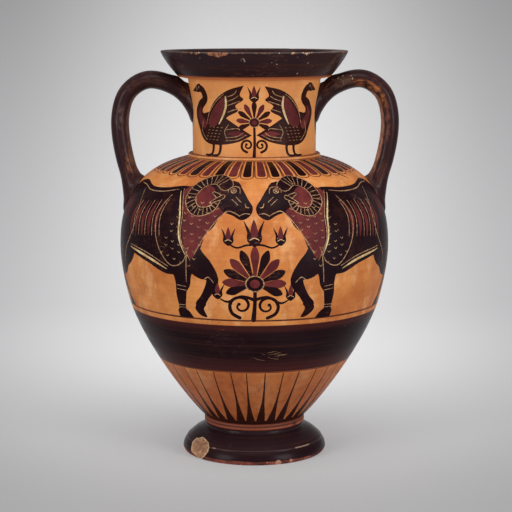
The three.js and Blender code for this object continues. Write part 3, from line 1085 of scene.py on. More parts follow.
def ram_lines():
    """Lines cut through the slip: shoulder, haunch, ribs, joints, mouth and eye."""
    lines = [
        [(30, 120), (40, 96), (42, 73), (53, 54)],
        [(57, 60), (71, 84), (82, 98.5), (90, 98), (96, 95)],
        [(19, 113), (8, 92), (13, 67), (29, 49), (44, 52), (51, 66)],
        [(49, 62), (48, 46), (47, 34)],
        [(-34, 116), (-26, 92), (-30, 72), (-43, 54), (-48, 42)],
        [(-73, 84), (-63, 62), (-60, 48), (-67, 35)],
        [(-30, 61), (-8, 58), (8, 54), (27, 47)],
        [(98, 107), (100, 103.5), (103, 103)],
        [(96, 95.5), (100, 97.5), (105, 97)],
        [(84, 111), (92, 105)], [(87, 113.5), (94, 108)],
        [(-58, 10), (-47, 10)], [(-58, 12.4), (-48, 12.4)],
        [(34, 10), (45, 10)], [(34.5, 12.4), (44.5, 12.4)],
        [(-78, 9), (-68, 9)],
        [(-69, 34), (-62, 35), (-58, 29)],
        [(36, 31), (46, 30)],
        [(36, 27.5), (46, 26.5)],
        [(-54, 121), (-38, 120), (-20, 115.5), (4, 115.5), (24, 119)],
        [(-68, 106), (-75, 98), (-78, 84)],
        [(64, 36), (70, 40), (75, 35)],
    ]
    lines += [[(x + 3, y), (x - 2, y - 16), (x, y - 34)]
              for x, y in ((15 - 10.5 * k, 108 - k) for k in range(5))]
    cuts = [(CUT, stroke(line, [0.55] + [0.85] * (len(line) - 2) + [0.5], 5, True)) for line in lines]
    lid = [(78, 118), (77, 121.6), (81, 125), (87, 123.4), (90, 117)]
    eye = [(CUT, dot(82.4, 120, 3.4, 2.6, -0.6)), (BLACK, dot(82.4, 120, 2.5, 1.8, -0.6)),
           (CUT, dot(82.4, 120, 1.2)), (BLACK, dot(82.4, 120, 0.5, count=8)),
           (CUT, stroke(lid, [0.4, 0.8, 0.8, 0.8, 0.4], blunt=True))]
    return cuts + eye


def petal(length, width, lean):
    """A drop-shaped petal from a point, at an angle from upright."""
    c, s = math.cos(lean), math.sin(lean)
    half = [(-0.30, 0.45), (-0.5, 0.78)]
    shape = [(0, 0), (0, 0), *half, (0, 1), *((-x, y) for x, y in half[::-1])]
    shape = [(x * width, y * length) for x, y in shape]
    return through([(x * c + y * s, y * c - x * s) for x, y in shape], True, 4)


def palmette(size, petals, x, y):
    """A fan of petals, black and red by turns, on a round heart."""
    art = []
    for k in range(petals):
        share = k / (petals - 1) * 2 - 1
        drop = petal(size * (1 - 0.22 * abs(share)), size * 0.235, share * 1.95)
        art.append((RED if k % 2 else BLACK, [(x + a, y + b) for a, b in drop]))
    for paint, wide, high in ((CUT, 0.25, 0.23), (BLACK, 0.22, 0.20), (RED, 0.13, 0.12)):
        art.append((paint, dot(x, y, size * wide, size * high)))
    return art


def scroll(x, y, size, way, widths):
    """A tendril that runs out from a point and rolls up."""
    steps = 12
    line = []
    for t in (k / steps for k in range(steps + 1)):
        lean = -1.5 + t * 1.35 * TURN
        reach = size * (1 - 0.80 * t)
        line.append((x + way * (size + reach * math.cos(lean)), y + reach * math.sin(lean)))
    return [(BLACK, stroke(line, widths, 4)), (BLACK, dot(*line[-1], widths[-1] * 0.9))]


def lotus(x, y, size):
    """A lotus bud: black outer leaves with a red heart and a cream rim."""
    def sized(points):
        return [(x + a * size, y + b * size) for a, b in points]

    heart = [(0, 0.1), (-0.16, 0.45), (-0.10, 0.8), (0, 1.05), (0, 1.05), (0.10, 0.8), (0.16, 0.45)]
    art = [(RED, through(sized(heart), True))]
    for way in (-1, 1):
        leaf = [(0, 0.02), (0.20 * way, 0.22), (0.24 * way, 0.55), (0.42 * way, 0.95)]
        art.append((BLACK, stroke(sized(leaf), [w * size for w in (0.18, 0.22, 0.13, 0.03)])))
    cup = [(-0.20, 0.16), (-0.14, 0.0), (0, -0.05), (0.14, 0.0), (0.20, 0.16), (0, 0.24)]
    rim = [(-0.20, 0.20), (0, 0.29), (0.20, 0.20)]
    art.append((BLACK, through(sized(cup), True)))
    art.append((CREAM, stroke(sized(rim), [w * size for w in (0.03, 0.035, 0.03)], blunt=True)))
    return art


def palmette_tree(tall=92, fan=37, bud=38):
    """The ornament beside a beast: scrolls, a broad palmette, and lotus buds on stems."""
    heart = tall * 0.5
    stem = [(0, 0), (0.6, heart * 0.5), (-0.4, tall * 0.66), (0, tall)]
    art = [(BLACK, stroke(stem, [4.6, 3.4, 3.0, 2.6]))]
    for way in (-1, 1):
        art += scroll(0, 14, 12, way, (3.4, 1.9))
        twig = [(0, heart - 16), (way * 12, heart - 13), (way * 24, heart - 19), (way * 32, heart - 16)]
        art.append((BLACK, stroke(twig, [3.4, 2.8, 2.4, 1.2])))
        art += lotus(way * 34, heart - 16, 15)
    return art + palmette(fan, 11, 0, heart) + lotus(0, tall, bud)


def handle_spray():
    """The narrow spray that fills the ground under each handle."""
    art = [(BLACK, stroke([(0, 0), (-4, 14), (4, 32), (-2, 48)], [2.6, 2.2, 2.0, 2.0]))]
    art += scroll(0, 12, 6.5, 1, (2.0, 1.3))
    art += scroll(0, 30, 6.0, -1, (2.0, 1.3))
    return art + palmette(19, 7, -2, 54)


def tongue(wall, paint, rng):
    """One tongue of the row: a thin outline round a filled bar, with bare clay between."""
    foot_v, top_v = wall.level(tongue_tip), wall.level(belly_high) - rng.uniform(1.6, 3.0)

    def half(y):
        return math.pi * float(np.interp(foot_v + y, wall.v, wall.r)) / tongue_count

    tall = top_v - foot_v
    lean = rng.uniform(-0.25, 0.25)
    drop = rng.uniform(-0.5, 0.4)
    side = [(0.90 * half(y), y) for y in (tall, tall * 0.7, tall * 0.45, tall * 0.2)]
    side += [(0.82 * half(0), 3.0 + drop), (0.5 * half(0), 0.9 + drop), (0, 0.3 + drop)]
    line = [(-x, y) for x, y in side] + [(x, y) for x, y in side[-2::-1]]
    art = [(WASH, stroke(line, [1.25] * 9, 4, True))]
    fill = rng.uniform(0.55, 0.64)
    bar = [(fill * half(y) + lean * 0.3, y) for y in (tall - 0.4, tall * 0.6, tall * 0.3, 6.2 + drop)]
    bar += [(0.44 * half(0), 3.8 + drop), (0, 3.0 + drop)]
    outline = [(-x + lean, y) for x, y in bar] + [(x + lean, y) for x, y in bar[-2::-1]]
    return art + [(paint, through(outline, steps=3))]


def root_patch(wide, high):
    """Slip brushed out round the root of a handle."""
    shape = [(-1, 0), (-0.72, 0.7), (0, 1), (0.75, 0.68), (1, 0), (0.70, -0.72), (0, -1), (-0.74, -0.7)]
    return [(BLACK, through([(x * wide, y * high) for x, y in shape], True, 8))]


def painted_belly():
    rng = random.Random(11)
    wall = Wall(upper_line)
    wall.band(belly_low + 0.5 * mm, WASH)
    wall.band(ground_line, BARE)
    wall.band(frieze_base, WASH)
    wall.band(belly_high, BARE)
    for k in range(tongue_count):
        paint = RED if k % 2 else BLACK
        wall.lay(tongue(wall, paint, rng), (k + 0.5) * TURN / tongue_count, tongue_tip)
    front, right, back, left = -math.pi / 2, 0.0, math.pi / 2, math.pi
    for side in (right, left):
        wall.lay(root_patch(19, 24), side, 257 * mm)
        wall.lay(by_hand(handle_spray(), rng, 0.5), side, frieze_base)
    beast = moved(ram(), 0, -0.6, 1.02, 1.045)
    reach = math.radians(49.5)
    wall.lay(by_hand(beast, rng), front - reach, frieze_base, 1, 0.5)
    wall.lay(by_hand(turned_about(beast), rng), front + reach, frieze_base, 1, 0.5)
    tree = palmette_tree(73, 36, 23)
    for way in (-1, 1):
        stem = [(0, 73.5), (way * 8, 73), (way * 17, 70.5), (way * 25, 74)]
        tree += [(BLACK, stroke(stem, [2.2, 1.9, 1.7, 1.6]))] + lotus(way * 25, 73, 16)
    wall.lay(by_hand(tree, rng, 0.5), front, frieze_base, 1, 0.5)
    wall.lay(by_hand(turned_about(beast, 13), rng), back, frieze_base, 1, 0.5)
    for way in (-1, 1):
        wall.lay(by_hand(palmette_tree(), rng, 0.5), back + way * math.radians(62), frieze_base, 1, 0.5)
    crack = [(-5.6, 9.5), (-2.2, 2.0), (2.0, -3.5), (6.4, -9.5)]
    wall.lay([(BLACK, stroke(crack, [0.8, 1.9, 1.6, 0.7], 4, True))], math.radians(-34.4), 284.5 * mm)
    scratches(wall, -108.5, 153 * mm, 4, 6, rng, WASH)
    inner = moved_in(upper_line, wall_thickness)[::-belly_inside_step]
    inner = [(r, z) for r, z in inner
             if z > belly_low + wall_thickness and r > neck_bore_radius + wall_thickness]
    seam_inner_radius = bowl_top_radius - wall_thickness * math.hypot(1, seam_lean)
    inside = [at(neck_bore_radius, belly_high), at(neck_bore_radius, belly_high - wall_thickness),
              *inner, at(seam_inner_radius, belly_low)]
    return wall.piece("painted_belly", inside, belly_seam, 320)


belly = painted_belly()
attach(belly, "root")
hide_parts("upper_body")


# Collar.
# A small raised ring of clay, luted round the root of the neck, with a thin brown line on its top,
# and a brown line of painted shadow at its foot, where it meets the shoulder.
(_, _, collar_low), (collar_radius, _, collar_high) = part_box("neck_ring")
collar_bore = 61.9 * mm


def collar_finish():
    finish = Finish("collar_clay")
    wobble = (finish.stretched(30, 10, 2.0) - 0.5) * 0.7 * mm
    high_line = finish.ramp(finish.z + wobble, collar_high - 0.9 * mm, collar_high - 0.5 * mm)
    # Painted shadow: a thin brown line along the ring's foot, where it sits on the shoulder.
    foot_shadow_line = finish.ramp(finish.z + wobble, collar_low + 1.2 * mm, collar_low + 0.4 * mm)
    brown = finish.mix(finish.noise(90, 3.0), (0.075, 0.021, 0.012), (0.24, 0.072, 0.030))
    colour = finish.layered(clay_colour(finish), (high_line * 0.9, brown), (foot_shadow_line * 0.75, brown))
    return finish.shine(colour, 0.5, finish.stretched(5, 420, 3.0, 0.6), 0.25, 0.12 * mm)


def collar_outline():
    width = collar_radius - collar_bore
    tall = collar_high - collar_low
    outer = bend(at(collar_radius, collar_low), at(collar_radius, collar_low + tall / 2),
                 at(collar_radius, collar_high), at(collar_bore + width / 2, collar_high), 14)
    start = at(collar_bore, collar_low)
    return [start, *outer, at(collar_bore, collar_low + tall * 0.8), start]


collar = turned("neck_collar", collar_outline(), collar_finish(), ripple=0.0)
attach(collar, "root")
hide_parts("neck_ring")


# Neck.
# A waisted tube, thrown on its own and luted to the shoulder. Front and back each carry two
# water birds with a palmette between them.
(_, _, neck_low), (neck_top_radius, _, neck_high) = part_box("neck")
neck_waist_radius = 60.8 * mm
neck_foot_radius = 61.6 * mm
neck_wall = 6.2 * mm
neck_waist = neck_low + 6 * mm
neck_waist_curve = 34 * mm
neck_top_curve = 26 * mm
neck_top_lean = 0.16
neck_seam = math.radians(-162.2)
neck_inside_step = 12
bird_base = neck_low + 3.3 * mm
bird_angle = math.radians(39)
bird_size = 1.02

neck_line = [at(neck_foot_radius, neck_low)] + bend(
    at(neck_waist_radius, neck_waist),
    at(neck_waist_radius, neck_waist + neck_waist_curve),
    at(neck_top_radius - neck_top_curve * neck_top_lean, neck_high - neck_top_curve),
    at(neck_top_radius, neck_high),
    200,
)


def swan():
    """A water bird with a raised wing that faces right, feet on y = 0, in mm."""
    art = []
    for x in (2, -6):
        leg = [(x, 18), (x - 2, 9), (x + 0.5, 1.6), (x + 8, 0.9)]
        art.append((BLACK, stroke(leg, [6, 2.8, 2.5, 1.7])))
    art += [
        (BLACK, through([(20, 26), (17, 37), (5, 42), (-9, 39), (-24, 30), (-38, 21), (-38, 21),
                         (-26, 15), (-10, 11.5), (6, 11.5), (16, 17)], True)),
        (BLACK, stroke([(11, 29), (20, 38), (18, 47), (10.5, 54), (13, 62), (19, 64.5)],
                       [22, 14, 9, 7.2, 6.6, 7])),
        (BLACK, through([(16, 67.6), (20.5, 68), (25, 65), (32, 60.4), (32, 60.4), (25, 60.2),
                         (18, 60.6)], True)),
        (BLACK, through([(9, 30), (5, 43), (-4, 55), (-17, 63), (-33, 67), (-33, 67), (-28, 58.5),
                         (-31, 54), (-23, 48.5), (-25, 43.5), (-15, 38), (-8, 30), (0, 26)], True)),
        (RED, through([(6.6, 31), (3, 41), (-5, 51), (-12, 56.5), (-12, 47), (-9, 40), (-4, 31),
                       (1, 28)], True)),
        (CREAM, stroke([(-13.6, 57.4), (-13.6, 48.5), (-10.6, 39.6), (-6, 31)], [1.3, 2.1, 2.0, 0.9],
                       blunt=True)),
        (RED, stroke([(13, 30), (19.4, 38), (17.6, 46)], [9, 6.6, 2.0])),
        (RED, stroke([(-34, 21), (-24, 22.5), (-15, 22)], [0.8, 5, 1])),
    ]
    lines = [[(14, 33), (16, 23), (9, 15)], [(23, 65), (22.6, 62.6), (23.6, 60.6)],
             [(9, 30), (5, 42), (-4, 53), (-12, 59)], [(-15, 16), (-12, 24), (-16, 31)]]
    lines += [[(-15, y), (-22, y + 2.4), (-29 + k * 1.2, y + 3.4 + k * 0.9)]
              for k, y in enumerate((42.4, 48.5, 52.5, 56.5))]
    lines += [[(-13, y), (-24, y + 1.4), (-33 + k * 3, 21.4 + k * 2.2)]
              for k, y in enumerate((15.5, 18.5, 26))]
    art += [(CUT, stroke(line, [0.4, 0.65, 0.65, 0.4], blunt=True)) for line in lines]
    for row in range(5):
        for k in range(4):
            x, y = 10 - 4.4 * k - row * 1.2, 15.5 + 3.0 * row
            art.append((CUT, stroke([(x, y), (x - 2.2, y + 0.5)], [0.5, 0.3], 2, True)))
    return art + [(CUT, dot(19, 65, 1.3)), (BLACK, dot(19, 65, 0.6, count=8))]


def neck_plant():
    """The upright palmette on scrolls that stands between the birds."""
    art = [(BLACK, stroke([(0, 0), (0.4, 12), (0, 30)], [3.2, 2.6, 2.2]))]
    for way in (-1, 1):
        art += scroll(0, 11, 6.4, way, (2.4, 1.5))
    return art + palmette(21, 9, 0, 33) + lotus(0, 53, 15)


def painted_neck():
    rng = random.Random(23)
    wall = Wall(neck_line)
    wall.band(neck_low + 2.6 * mm, BARE)
    wall.band(bird_base, WASH)
    wall.band(neck_high, BARE)
    for face in (-math.pi / 2, math.pi / 2):
        wall.lay(by_hand(neck_plant(), rng, 0.3), face, bird_base)
        wall.lay(by_hand(swan(), rng, 0.4), face + bird_angle, bird_base, bird_size)
        wall.lay(by_hand(turned_about(swan()), rng, 0.4), face - bird_angle, bird_base, bird_size)
    wall.lay(root_patch(18, 24), 0.0, neck_low + 43 * mm)
    wall.lay(root_patch(16, 20), math.pi, neck_low + 46 * mm)
    inner = moved_in(neck_line, neck_wall)[::-neck_inside_step]
    inner = [p for p in inner if neck_waist < p[1] < neck_high - neck_wall]
    inside = [at(neck_top_radius - neck_wall, neck_high), *inner, at(neck_bore_radius, neck_low)]
    return wall.piece("painted_neck", inside, neck_seam, 200, 2.5)


neck = painted_neck()
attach(neck, "root")
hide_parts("neck")


# Mouth.
# A heavy flaring lip with a flat rim, thrown on its own and luted on over a narrow red-washed
# step. Slip covers it inside and out, chipped and rubbed through along the rim's edge.
(_, _, mouth_low), (rim_radius, _, mouth_high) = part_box("mouth")
step_high = mouth_low + 1.4 * mm
step_radius = 68 * mm
lip_foot_radius = 75.4 * mm
slip_edge = mouth_low + 3.2 * mm
lip_foot_curve = at(4 * mm, 4.7 * mm)
lip_rim_curve = at(3.5 * mm, 9.2 * mm)
rim_face_width = 9.5 * mm
funnel_top_curve = 8 * mm
funnel_foot_curve = 9 * mm
mouth_bore_radius = neck_top_radius - neck_wall


def mouth_finish():
    """Slip with a pale scrape in front, a browner right side with a painted sheen on it, a greyish top
    that is paler to the right, and a chipped edge.
    """
    finish = Finish("mouth_slip")
    streaks = finish.stretched(6, 480, 4.0, 0.62)
    brown = finish.near((74, -46, 388), 46, 20, 40)
    cloudy = finish.patches(0.42, 0.66, 160, 4.0, 0.7, offset=(3, 3, 1))
    # Painted sheen: a pale brown glint, broken into speckles, on the lip's right side.
    painted_sheen = finish.near((78, -42, 386), 12, 16, 90) * cloudy
    broken = finish.streaks(0.48, 0.56, 420, 900, 3.0, 0.7)
    scrape = finish.near((-10.5, -87, 393), 3, 3, 500) * broken
    radius = finish.from_axis()
    wobble = (finish.stretched(26, 60, 2.0) - 0.5) * 0.8 * mm
    step = finish.ramp(finish.z + wobble, slip_edge + 0.2 * mm, slip_edge - 0.2 * mm)
    step = step * finish.ramp(radius, mouth_bore_radius + 3 * mm, mouth_bore_radius + 5 * mm)
    washed = finish.ramp(finish.z, slip_edge - 2.0 * mm, slip_edge - 1.2 * mm)
    # The top of the rim is painted greyish in patches, paler to the right.
    top = finish.ramp(finish.z, mouth_high - 1.4 * mm, mouth_high - 0.2 * mm)
    top_patches = finish.patches(0.34, 0.60, 55, 5.0, 0.68, offset=(2, 5, 9))
    to_right = finish.ramp(finish.x, 30 * mm, 80 * mm)
    edge = finish.beside(radius - rim_radius, -0.6 * mm, 1.6 * mm, 0.3 * mm)
    edge = edge * finish.ramp(finish.z, mouth_high - 2.4 * mm, mouth_high - 0.6 * mm)
    edge_worn = finish.ramp(finish.noise(150, 4.0, 0.65) + edge * 0.10, 0.60, 0.70) * edge
    knocked = finish.attribute("bare", "Fac")
    broken_off = finish.ramp(knocked + (finish.noise(260, 4.0, 0.7) - 0.5) * 1.6, 0.3, 0.6)
    patchy = finish.patches(0.38, 0.62, 420, 4.0, 0.7)
    flaked_right = finish.near((38, -78, 391), 26)
    flaked_left = finish.near((-58, -73, 399), 12)
    chips = flakes(finish, edge * 0.7 + (flaked_right * 0.62 + flaked_left * 0.5), 0.76)
    colour = finish.layered(
        slip_colour(finish, streaks, wheel_scrapes(finish), 0.12, 0.40),
        (brown * 0.18, (0.075, 0.027, 0.017)),
        (painted_sheen * 0.32, (0.19, 0.125, 0.085)),
        (scrape * 0.8, (0.40, 0.30, 0.25)),
        # Painted light: the step's red wash is painted brighter than it is, its lower part most,
        # against the shade under the lip.
        (step, finish.mix(washed, (0.82, 0.275, 0.085), (0.31, 0.088, 0.034))),
        (top * (top_patches * 0.35 + 0.6),
         finish.mix(to_right, (0.080, 0.064, 0.056), (0.150, 0.126, 0.116))),
        (edge_worn * 0.55, (0.19, 0.090, 0.055)),
        (broken_off, finish.mix(patchy, (0.080, 0.028, 0.020), (0.36, 0.145, 0.078))),
        (chips, (0.60, 0.42, 0.28)))
    rough = finish.gloss(streaks, 0.26, 0.40) + step * 0.2 + top * 0.25 + knocked * 0.3
    return finish.shine(colour, rough, streaks * 0.5 - chips * 0.6, 0.3, 0.14 * mm, 0.09)


def mouth_outline():
    rounding = 0.8 * mm
    start = at(mouth_bore_radius, mouth_low)
    step_foot = at(step_radius, mouth_low)
    lip_foot = at(lip_foot_radius, step_high)
    rim = at(rim_radius, mouth_high - rounding)
    lip = bend(lip_foot + at(0, rounding), lip_foot + lip_foot_curve,
               at(rim_radius, mouth_high) - lip_rim_curve, rim, 60)
    rim_inner = at(rim_radius - rim_face_width, mouth_high)
    funnel = bend(rim_inner - at(rounding, rounding), rim_inner - at(rounding, funnel_top_curve),
                  at(mouth_bore_radius + funnel_foot_curve, step_high), start, 36)
    top = at(rim_radius - rounding / 2, mouth_high)
    return [start, *corner(start, step_foot, lip_foot, 0.3 * mm),
            *corner(step_foot, lip_foot, lip[1], rounding), *lip[1:-1],
            *corner(lip[-2], top, rim_inner, rounding, 7),
            *corner(top, rim_inner, funnel[1], rounding, 7), *funnel]


def knock(piece, bites, seed):
    """Knocks chips off the rim. Each bite is an angle in degrees, then its depth below the rim,
    its size and how far it goes in, in mm."""
    rng = random.Random(seed)
    mesh = piece.data
    bare = mesh.attributes.new("bare", "FLOAT", "POINT")
    marks = np.zeros(len(mesh.vertices))
    places = np.array([v.co for v in mesh.vertices])
    for degrees, below, size, deep in bites:
        c, s = math.cos(math.radians(degrees)), math.sin(math.radians(degrees))
        centre = np.array((rim_radius * c, rim_radius * s, mouth_high - below * mm))
        away = (places - centre) / np.array((size * mm, size * mm, size * mm * 0.55))
        reach = np.linalg.norm(away, axis=1)
        inward = np.array((-c, -s, -0.5))
        for k in np.nonzero(reach < 1)[0]:
            share = 1 - reach[k] ** 2
            ragged = share * rng.uniform(0.75, 1.25)
            places[k] += inward * (deep * mm) * ragged
            marks[k] = max(marks[k], min(1.0, share * 3))
    mesh.vertices.foreach_set("co", places.ravel())
    bare.data.foreach_set("value", marks)
    mesh.update()


mouth = turned("glazed_mouth", mouth_outline(), mouth_finish(), 720, 0.10 * mm, 3.0 * mm)
knock(mouth, [
    (-116, 1.0, 4.6, 0.5), (-111.5, 1.6, 5.8, 0.6), (-107.5, 1.0, 3.6, 0.5), (-126, 1.0, 2.6, 0.5),
    (-130, 0.8, 1.8, 0.4), (-97, 0.6, 1.4, 0.3), (-67, 1.0, 1.8, 0.4), (-21, 1.2, 3.6, 1.0),
    (64, 1.0, 5, 0.8), (141, 0.8, 3, 0.6),
], 5)
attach(mouth, "root")
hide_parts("mouth")


# Handles.
# Two straps pulled from wet clay, oval in section, that rise from the neck under the lip, turn
# over and come down on the shoulder. Each root is pressed and smoothed onto the wall.
strap_points = [
    (50, 37), (76, 9.8), (105, 1.7), (124.7, 13.6), (132.8, 38), (127.8, 82), (107.2, 134.5),
]
strap_steps = 24
strap_thickness = 17.8 * mm
strap_sizes = {
    "Rings": 150, "Facets": 48, "Thickness": strap_thickness, "Depth": 24 * mm,
    "Neck Thickness": 23 * mm, "Neck Depth": 34 * mm, "Neck Swell": 26 * mm,
    "Shoulder Thickness": 39.5 * mm, "Shoulder Depth": 38 * mm, "Shoulder Swell": 50 * mm,
    "Fillet": 1.8 * mm, "Fillet Reach": 7 * mm,
}


def strap_path(out, up):
    """The strap's middle line, a curve through its points, which are how far each lies from the
    axis and below the top of the neck, in mm. It can lie a little further out or higher between
    its roots, as hand-pulled straps differ."""
    knots = [at(reach * mm, neck_high - drop * mm) for reach, drop in strap_points]
    knots = [knots[0], *(knot + at(out, up) for knot in knots[1:-1]), knots[-1]]
    knots = [2 * knots[0] - knots[1], *knots, 2 * knots[-1] - knots[-2]]
    line = []
    for a, b, c, d in zip(knots, knots[1:], knots[2:], knots[3:]):
        before, here, after = (math.sqrt(np.linalg.norm(q - p)) for p, q in ((a, b), (b, c), (c, d)))
        leave = ((b - a) / before - (c - a) / (before + here) + (c - b) / here) * here
        arrive = ((c - b) / here - (d - b) / (here + after) + (d - c) / after) * here
        for t in (k / strap_steps for k in range(strap_steps)):
            line.append(b + leave * t + (3 * (c - b) - 2 * leave - arrive) * t ** 2
                        + (2 * (b - c) + leave + arrive) * t ** 3)
    return line + [knots[-2]]


def swept_oval(bench, given, jar):
    """An oval swept along the path, swollen at both roots and spread out where it nears the jar.
    One more ring at each end is drawn in to a point and closes it."""
    path = given["Geometry"]
    length = bench.node("GeometryNodeCurveLength", {"Curve": path})
    grid = bench.node("GeometryNodeMeshGrid", {
        "Vertices X": given["Rings"] + 3, "Vertices Y": given["Facets"] + 1})
    index = bench.node("GeometryNodeInputIndex")
    column = index.math("MODULO", given["Facets"] + 1)
    ring = ((index / (given["Facets"] + 1)).math("FLOOR") - 1) / given["Rings"]
    share = ring.math("MAXIMUM", 0.0).math("MINIMUM", 1.0)
    is_open = bench.math("COMPARE", ring, share, 0.0001)
    spot = bench.node("GeometryNodeSampleCurve", {"Curves": path, "Factor": share}, mode="FACTOR")
    centre, along = spot.out("Position"), spot.out("Tangent")
    outward = bench.vector("CROSS_PRODUCT", along, (0, 1, 0))
    by_neck = bench.ramp(share * length, given["Neck Swell"], 0.0)
    by_shoulder = bench.ramp(length - share * length, given["Shoulder Swell"], 0.0)

    def size(name):
        grip = given[name]
        return (grip + (given["Neck " + name] - grip) * by_neck
                + (given["Shoulder " + name] - grip) * by_shoulder)

    angle = column * TURN / given["Facets"]
    out = angle.math("COSINE") * size("Thickness") * 0.5
    side = angle.math("SINE") * size("Depth") * 0.5
    sideways = bench.node("ShaderNodeCombineXYZ", {"Y": side})
    reach = bench.scaled(bench.vector("ADD", bench.scaled(outward, out), sideways), is_open)
    place = bench.vector("ADD", centre, reach)
    away = bench.node("GeometryNodeProximity", {
        "Geometry": jar, "Sample Position": place}, target_element="FACES").out("Distance")
    root = bench.ramp(away, given["Fillet Reach"], 0.0)
    spread = bench.scaled(bench.vector("NORMALIZE", reach), root * root * given["Fillet"])
    strap = bench.node("GeometryNodeSetPosition", {
        "Geometry": grid, "Position": bench.vector("ADD", place, spread)})
    flat = bench.node("ShaderNodeCombineXYZ", {"X": out, "Y": side, "Z": share * length})
    strap = bench.node("GeometryNodeStoreNamedAttribute", {
        "Geometry": strap, "Name": "unbent", "Value": flat}, data_type="FLOAT_VECTOR")
    return bench.node("GeometryNodeMergeByDistance", {"Geometry": strap, "Distance": WELD})


def strap_tree():
    """Makes one strap, turns it round for a left hand, and cuts it where it meets the jar."""
    bench, given = shape_tree("strap", {
        "Geometry": "Geometry", "Jar": "Object", "Rings": "Int", "Facets": "Int", "Thickness": "Float",
        "Depth": "Float", "Neck Thickness": "Float", "Neck Depth": "Float", "Neck Swell": "Float",
        "Shoulder Thickness": "Float", "Shoulder Depth": "Float", "Shoulder Swell": "Float",
        "Fillet": "Float", "Fillet Reach": "Float", "Left Hand": "Bool", "Finish": "Material"})
    jar = bench.node("GeometryNodeObjectInfo", {"Object": given["Jar"]}).out("Geometry")
    right = swept_oval(bench, given, jar)
    left = bench.node("GeometryNodeTransform", {"Geometry": right, "Scale": (-1, 1, 1)})
    left = bench.node("GeometryNodeFlipFaces", {"Mesh": left})
    strap = bench.node("GeometryNodeSwitch", {
        "Switch": given["Left Hand"], "False": right, "True": left}, input_type="GEOMETRY")
    fitted = bench.node("GeometryNodeMeshBoolean", {"Mesh 1": strap, "Mesh 2": jar},
                        operation="DIFFERENCE", solver="MANIFOLD")
    return finished_shape(bench, fitted, given["Finish"])


def strap_finish(name, inner_rub, rubs, flaked=()):
    """Slip drawn out along a strap, rubbed through at its inner edge. Each rub is from and to along
    the strap, in mm, its middle and reach across the front, -1 at the inner edge and 1 at the outer
    one, and its colour. Each flaked place is a point and a reach in mm, where pale spots stand for
    flakes of the slip and for painted highlights."""
    finish = Finish(name)
    unbent = finish.attribute("unbent", "Vector")
    parts = finish.node("ShaderNodeSeparateXYZ", {0: unbent})
    out, side, along = (parts.out(axis) for axis in "XYZ")
    half = strap_thickness / 2

    def drawn_out(across, up, offset):
        where = finish.vector("MULTIPLY", unbent, (across, across, up))
        return finish.noise(1.0, 4.0, 0.64, where, offset)

    streaks = drawn_out(300, 46, (0, 0, 0))
    fine = drawn_out(900, 170, (4, 4, 4))
    patches = drawn_out(120, 70, (2, 7, 1))
    scraped = finish.ramp(fine, 0.50, 0.62)
    between_roots = finish.ramp(along, 14 * mm, 40 * mm) * finish.ramp(along, 200 * mm, 176 * mm)
    worn = finish.ramp(patches, 0.44, 0.62) * finish.ramp(fine, 0.44, 0.60) * between_roots
    colour = finish.layered(
        slip_colour(finish, streaks * 0.6 + patches * 0.4, scraped, 0.04, 0.35),
        (0.12, (0.066, 0.021, 0.016)),
        (worn * 0.50, (0.090, 0.036, 0.027)))
    wander = (finish.noise(60, 3.0) - 0.5) * 16 * mm
    for low, high, middle, reach, tint in rubs:
        share = finish.ramp(along + wander, low * mm, (low + 8) * mm)
        share = share * finish.ramp(along + wander, high * mm, (high - 8) * mm)
        share = share * finish.beside(out, middle * half, reach * half, reach * 3 * mm)
        share = share * finish.ramp(side, 4 * mm, -1 * mm)
        share = share * finish.ramp(fine * 0.5 + patches * 0.5, 0.43, 0.58)
        colour = finish.mix(share * 0.75, colour, tint)
    ragged = (drawn_out(90, 45, (1, 1, 6)) - 0.5) * 4 * mm
    inner = finish.ramp(out + ragged, -5.6 * mm, -7.2 * mm) * inner_rub
    inner = inner * finish.ramp(along, 76 * mm, 92 * mm) * finish.ramp(along, 196 * mm, 160 * mm)
    tan = finish.toned(fine, 0.35, 0.65, (0.17, 0.066, 0.045), (0.50, 0.25, 0.165))
    # Pale spots round the given places: flakes of the slip, and painted highlights where the strap
    # catches the light.
    spots = 0.0
    for place, reach in flaked:
        spots = finish.near(place, reach) * 0.92 + spots
    chips = flakes(finish, spots, 0.78)
    colour = finish.layered(colour, (inner * 0.9, tan), (chips, (0.40, 0.29, 0.18)))
    rough = finish.gloss(streaks, 0.20, 0.36) + inner * 0.25
    return finish.shine(colour, rough, streaks * 0.4 + fine * 0.3 - chips * 0.6, 0.35, 0.18 * mm, 0.08)


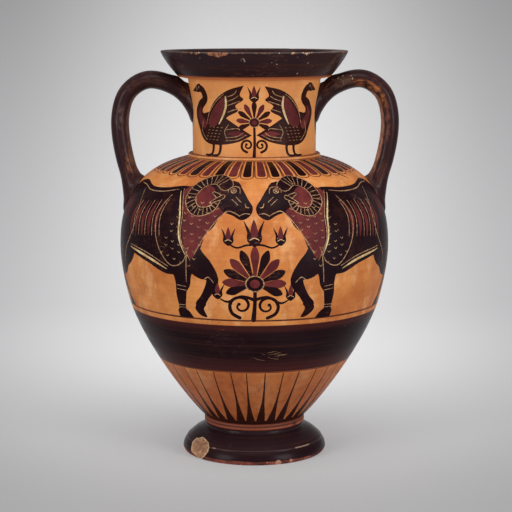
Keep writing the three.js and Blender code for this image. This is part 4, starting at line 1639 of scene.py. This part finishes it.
def right_strap_finish():
    return strap_finish("right_strap_slip", 1.0, [
        (26, 66, 0.15, 0.8, (0.13, 0.068, 0.045)), (58, 112, -0.38, 0.52, (0.40, 0.135, 0.045)),
        (62, 108, -0.42, 0.42, (0.50, 0.180, 0.060)), (104, 150, -0.35, 0.42, (0.17, 0.058, 0.036)),
        (150, 196, 0.1, 0.6, (0.07, 0.028, 0.022)),
    # Pale spots near the neck root: painted highlights, with a few flakes among them.
    ], [((80, -11, 368), 8), ((90, -11, 373), 7), ((99, -11, 375), 5)])


def left_strap_finish():
    return strap_finish("left_strap_slip", 0.25, [
        (146, 174, -0.35, 0.55, (0.27, 0.095, 0.038)), (52, 78, -0.2, 0.5, (0.085, 0.036, 0.025)),
        (104, 130, 0.05, 0.6, (0.115, 0.070, 0.062)), (16, 40, 0.2, 0.6, (0.15, 0.060, 0.036)),
    ])


def jar_outside():
    """The jar's own outside, a little smaller, that the handle roots are cut against."""
    pressed = 0.3 * mm
    line = [at(0, belly_low), *upper_line[::4], at(neck_foot_radius, belly_high + 0.2 * mm),
            *neck_line[1::6], at(step_radius, neck_high), at(lip_foot_radius, step_high),
            at(rim_radius - 5 * mm, mouth_high - 12 * mm), at(rim_radius, mouth_high),
            at(0, mouth_high)]
    line = [at(max(r - pressed, 0), z) for r, z in line]
    return turned("jar_outside", line, paints[BARE], 180, 0.0)


def strap_curve(name, out, up):
    path = strap_path(out, up)
    curve = bpy.data.curves.new(name, "CURVE")
    curve.dimensions = "3D"
    spline = curve.splines.new("POLY")
    spline.points.add(len(path) - 1)
    for point, (reach, height) in zip(spline.points, path):
        point.co = (reach, 0, height, 1)
    return curve


straps = strap_tree()
jar = jar_outside()
for name, node, left_hand, out, up, finish in (
    ("right_strap", "right_handle", False, 0.8 * mm, 0.8 * mm, right_strap_finish()),
    ("left_strap", "left_handle", True, -0.6 * mm, -0.4 * mm, left_strap_finish()),
):
    handle = grown(name, strap_curve(name + "_path", out, up), straps, {
        **strap_sizes, "Jar": jar, "Left Hand": left_hand, "Finish": finish})
    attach(handle, "root")
    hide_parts(node)
bpy.data.objects.remove(jar)
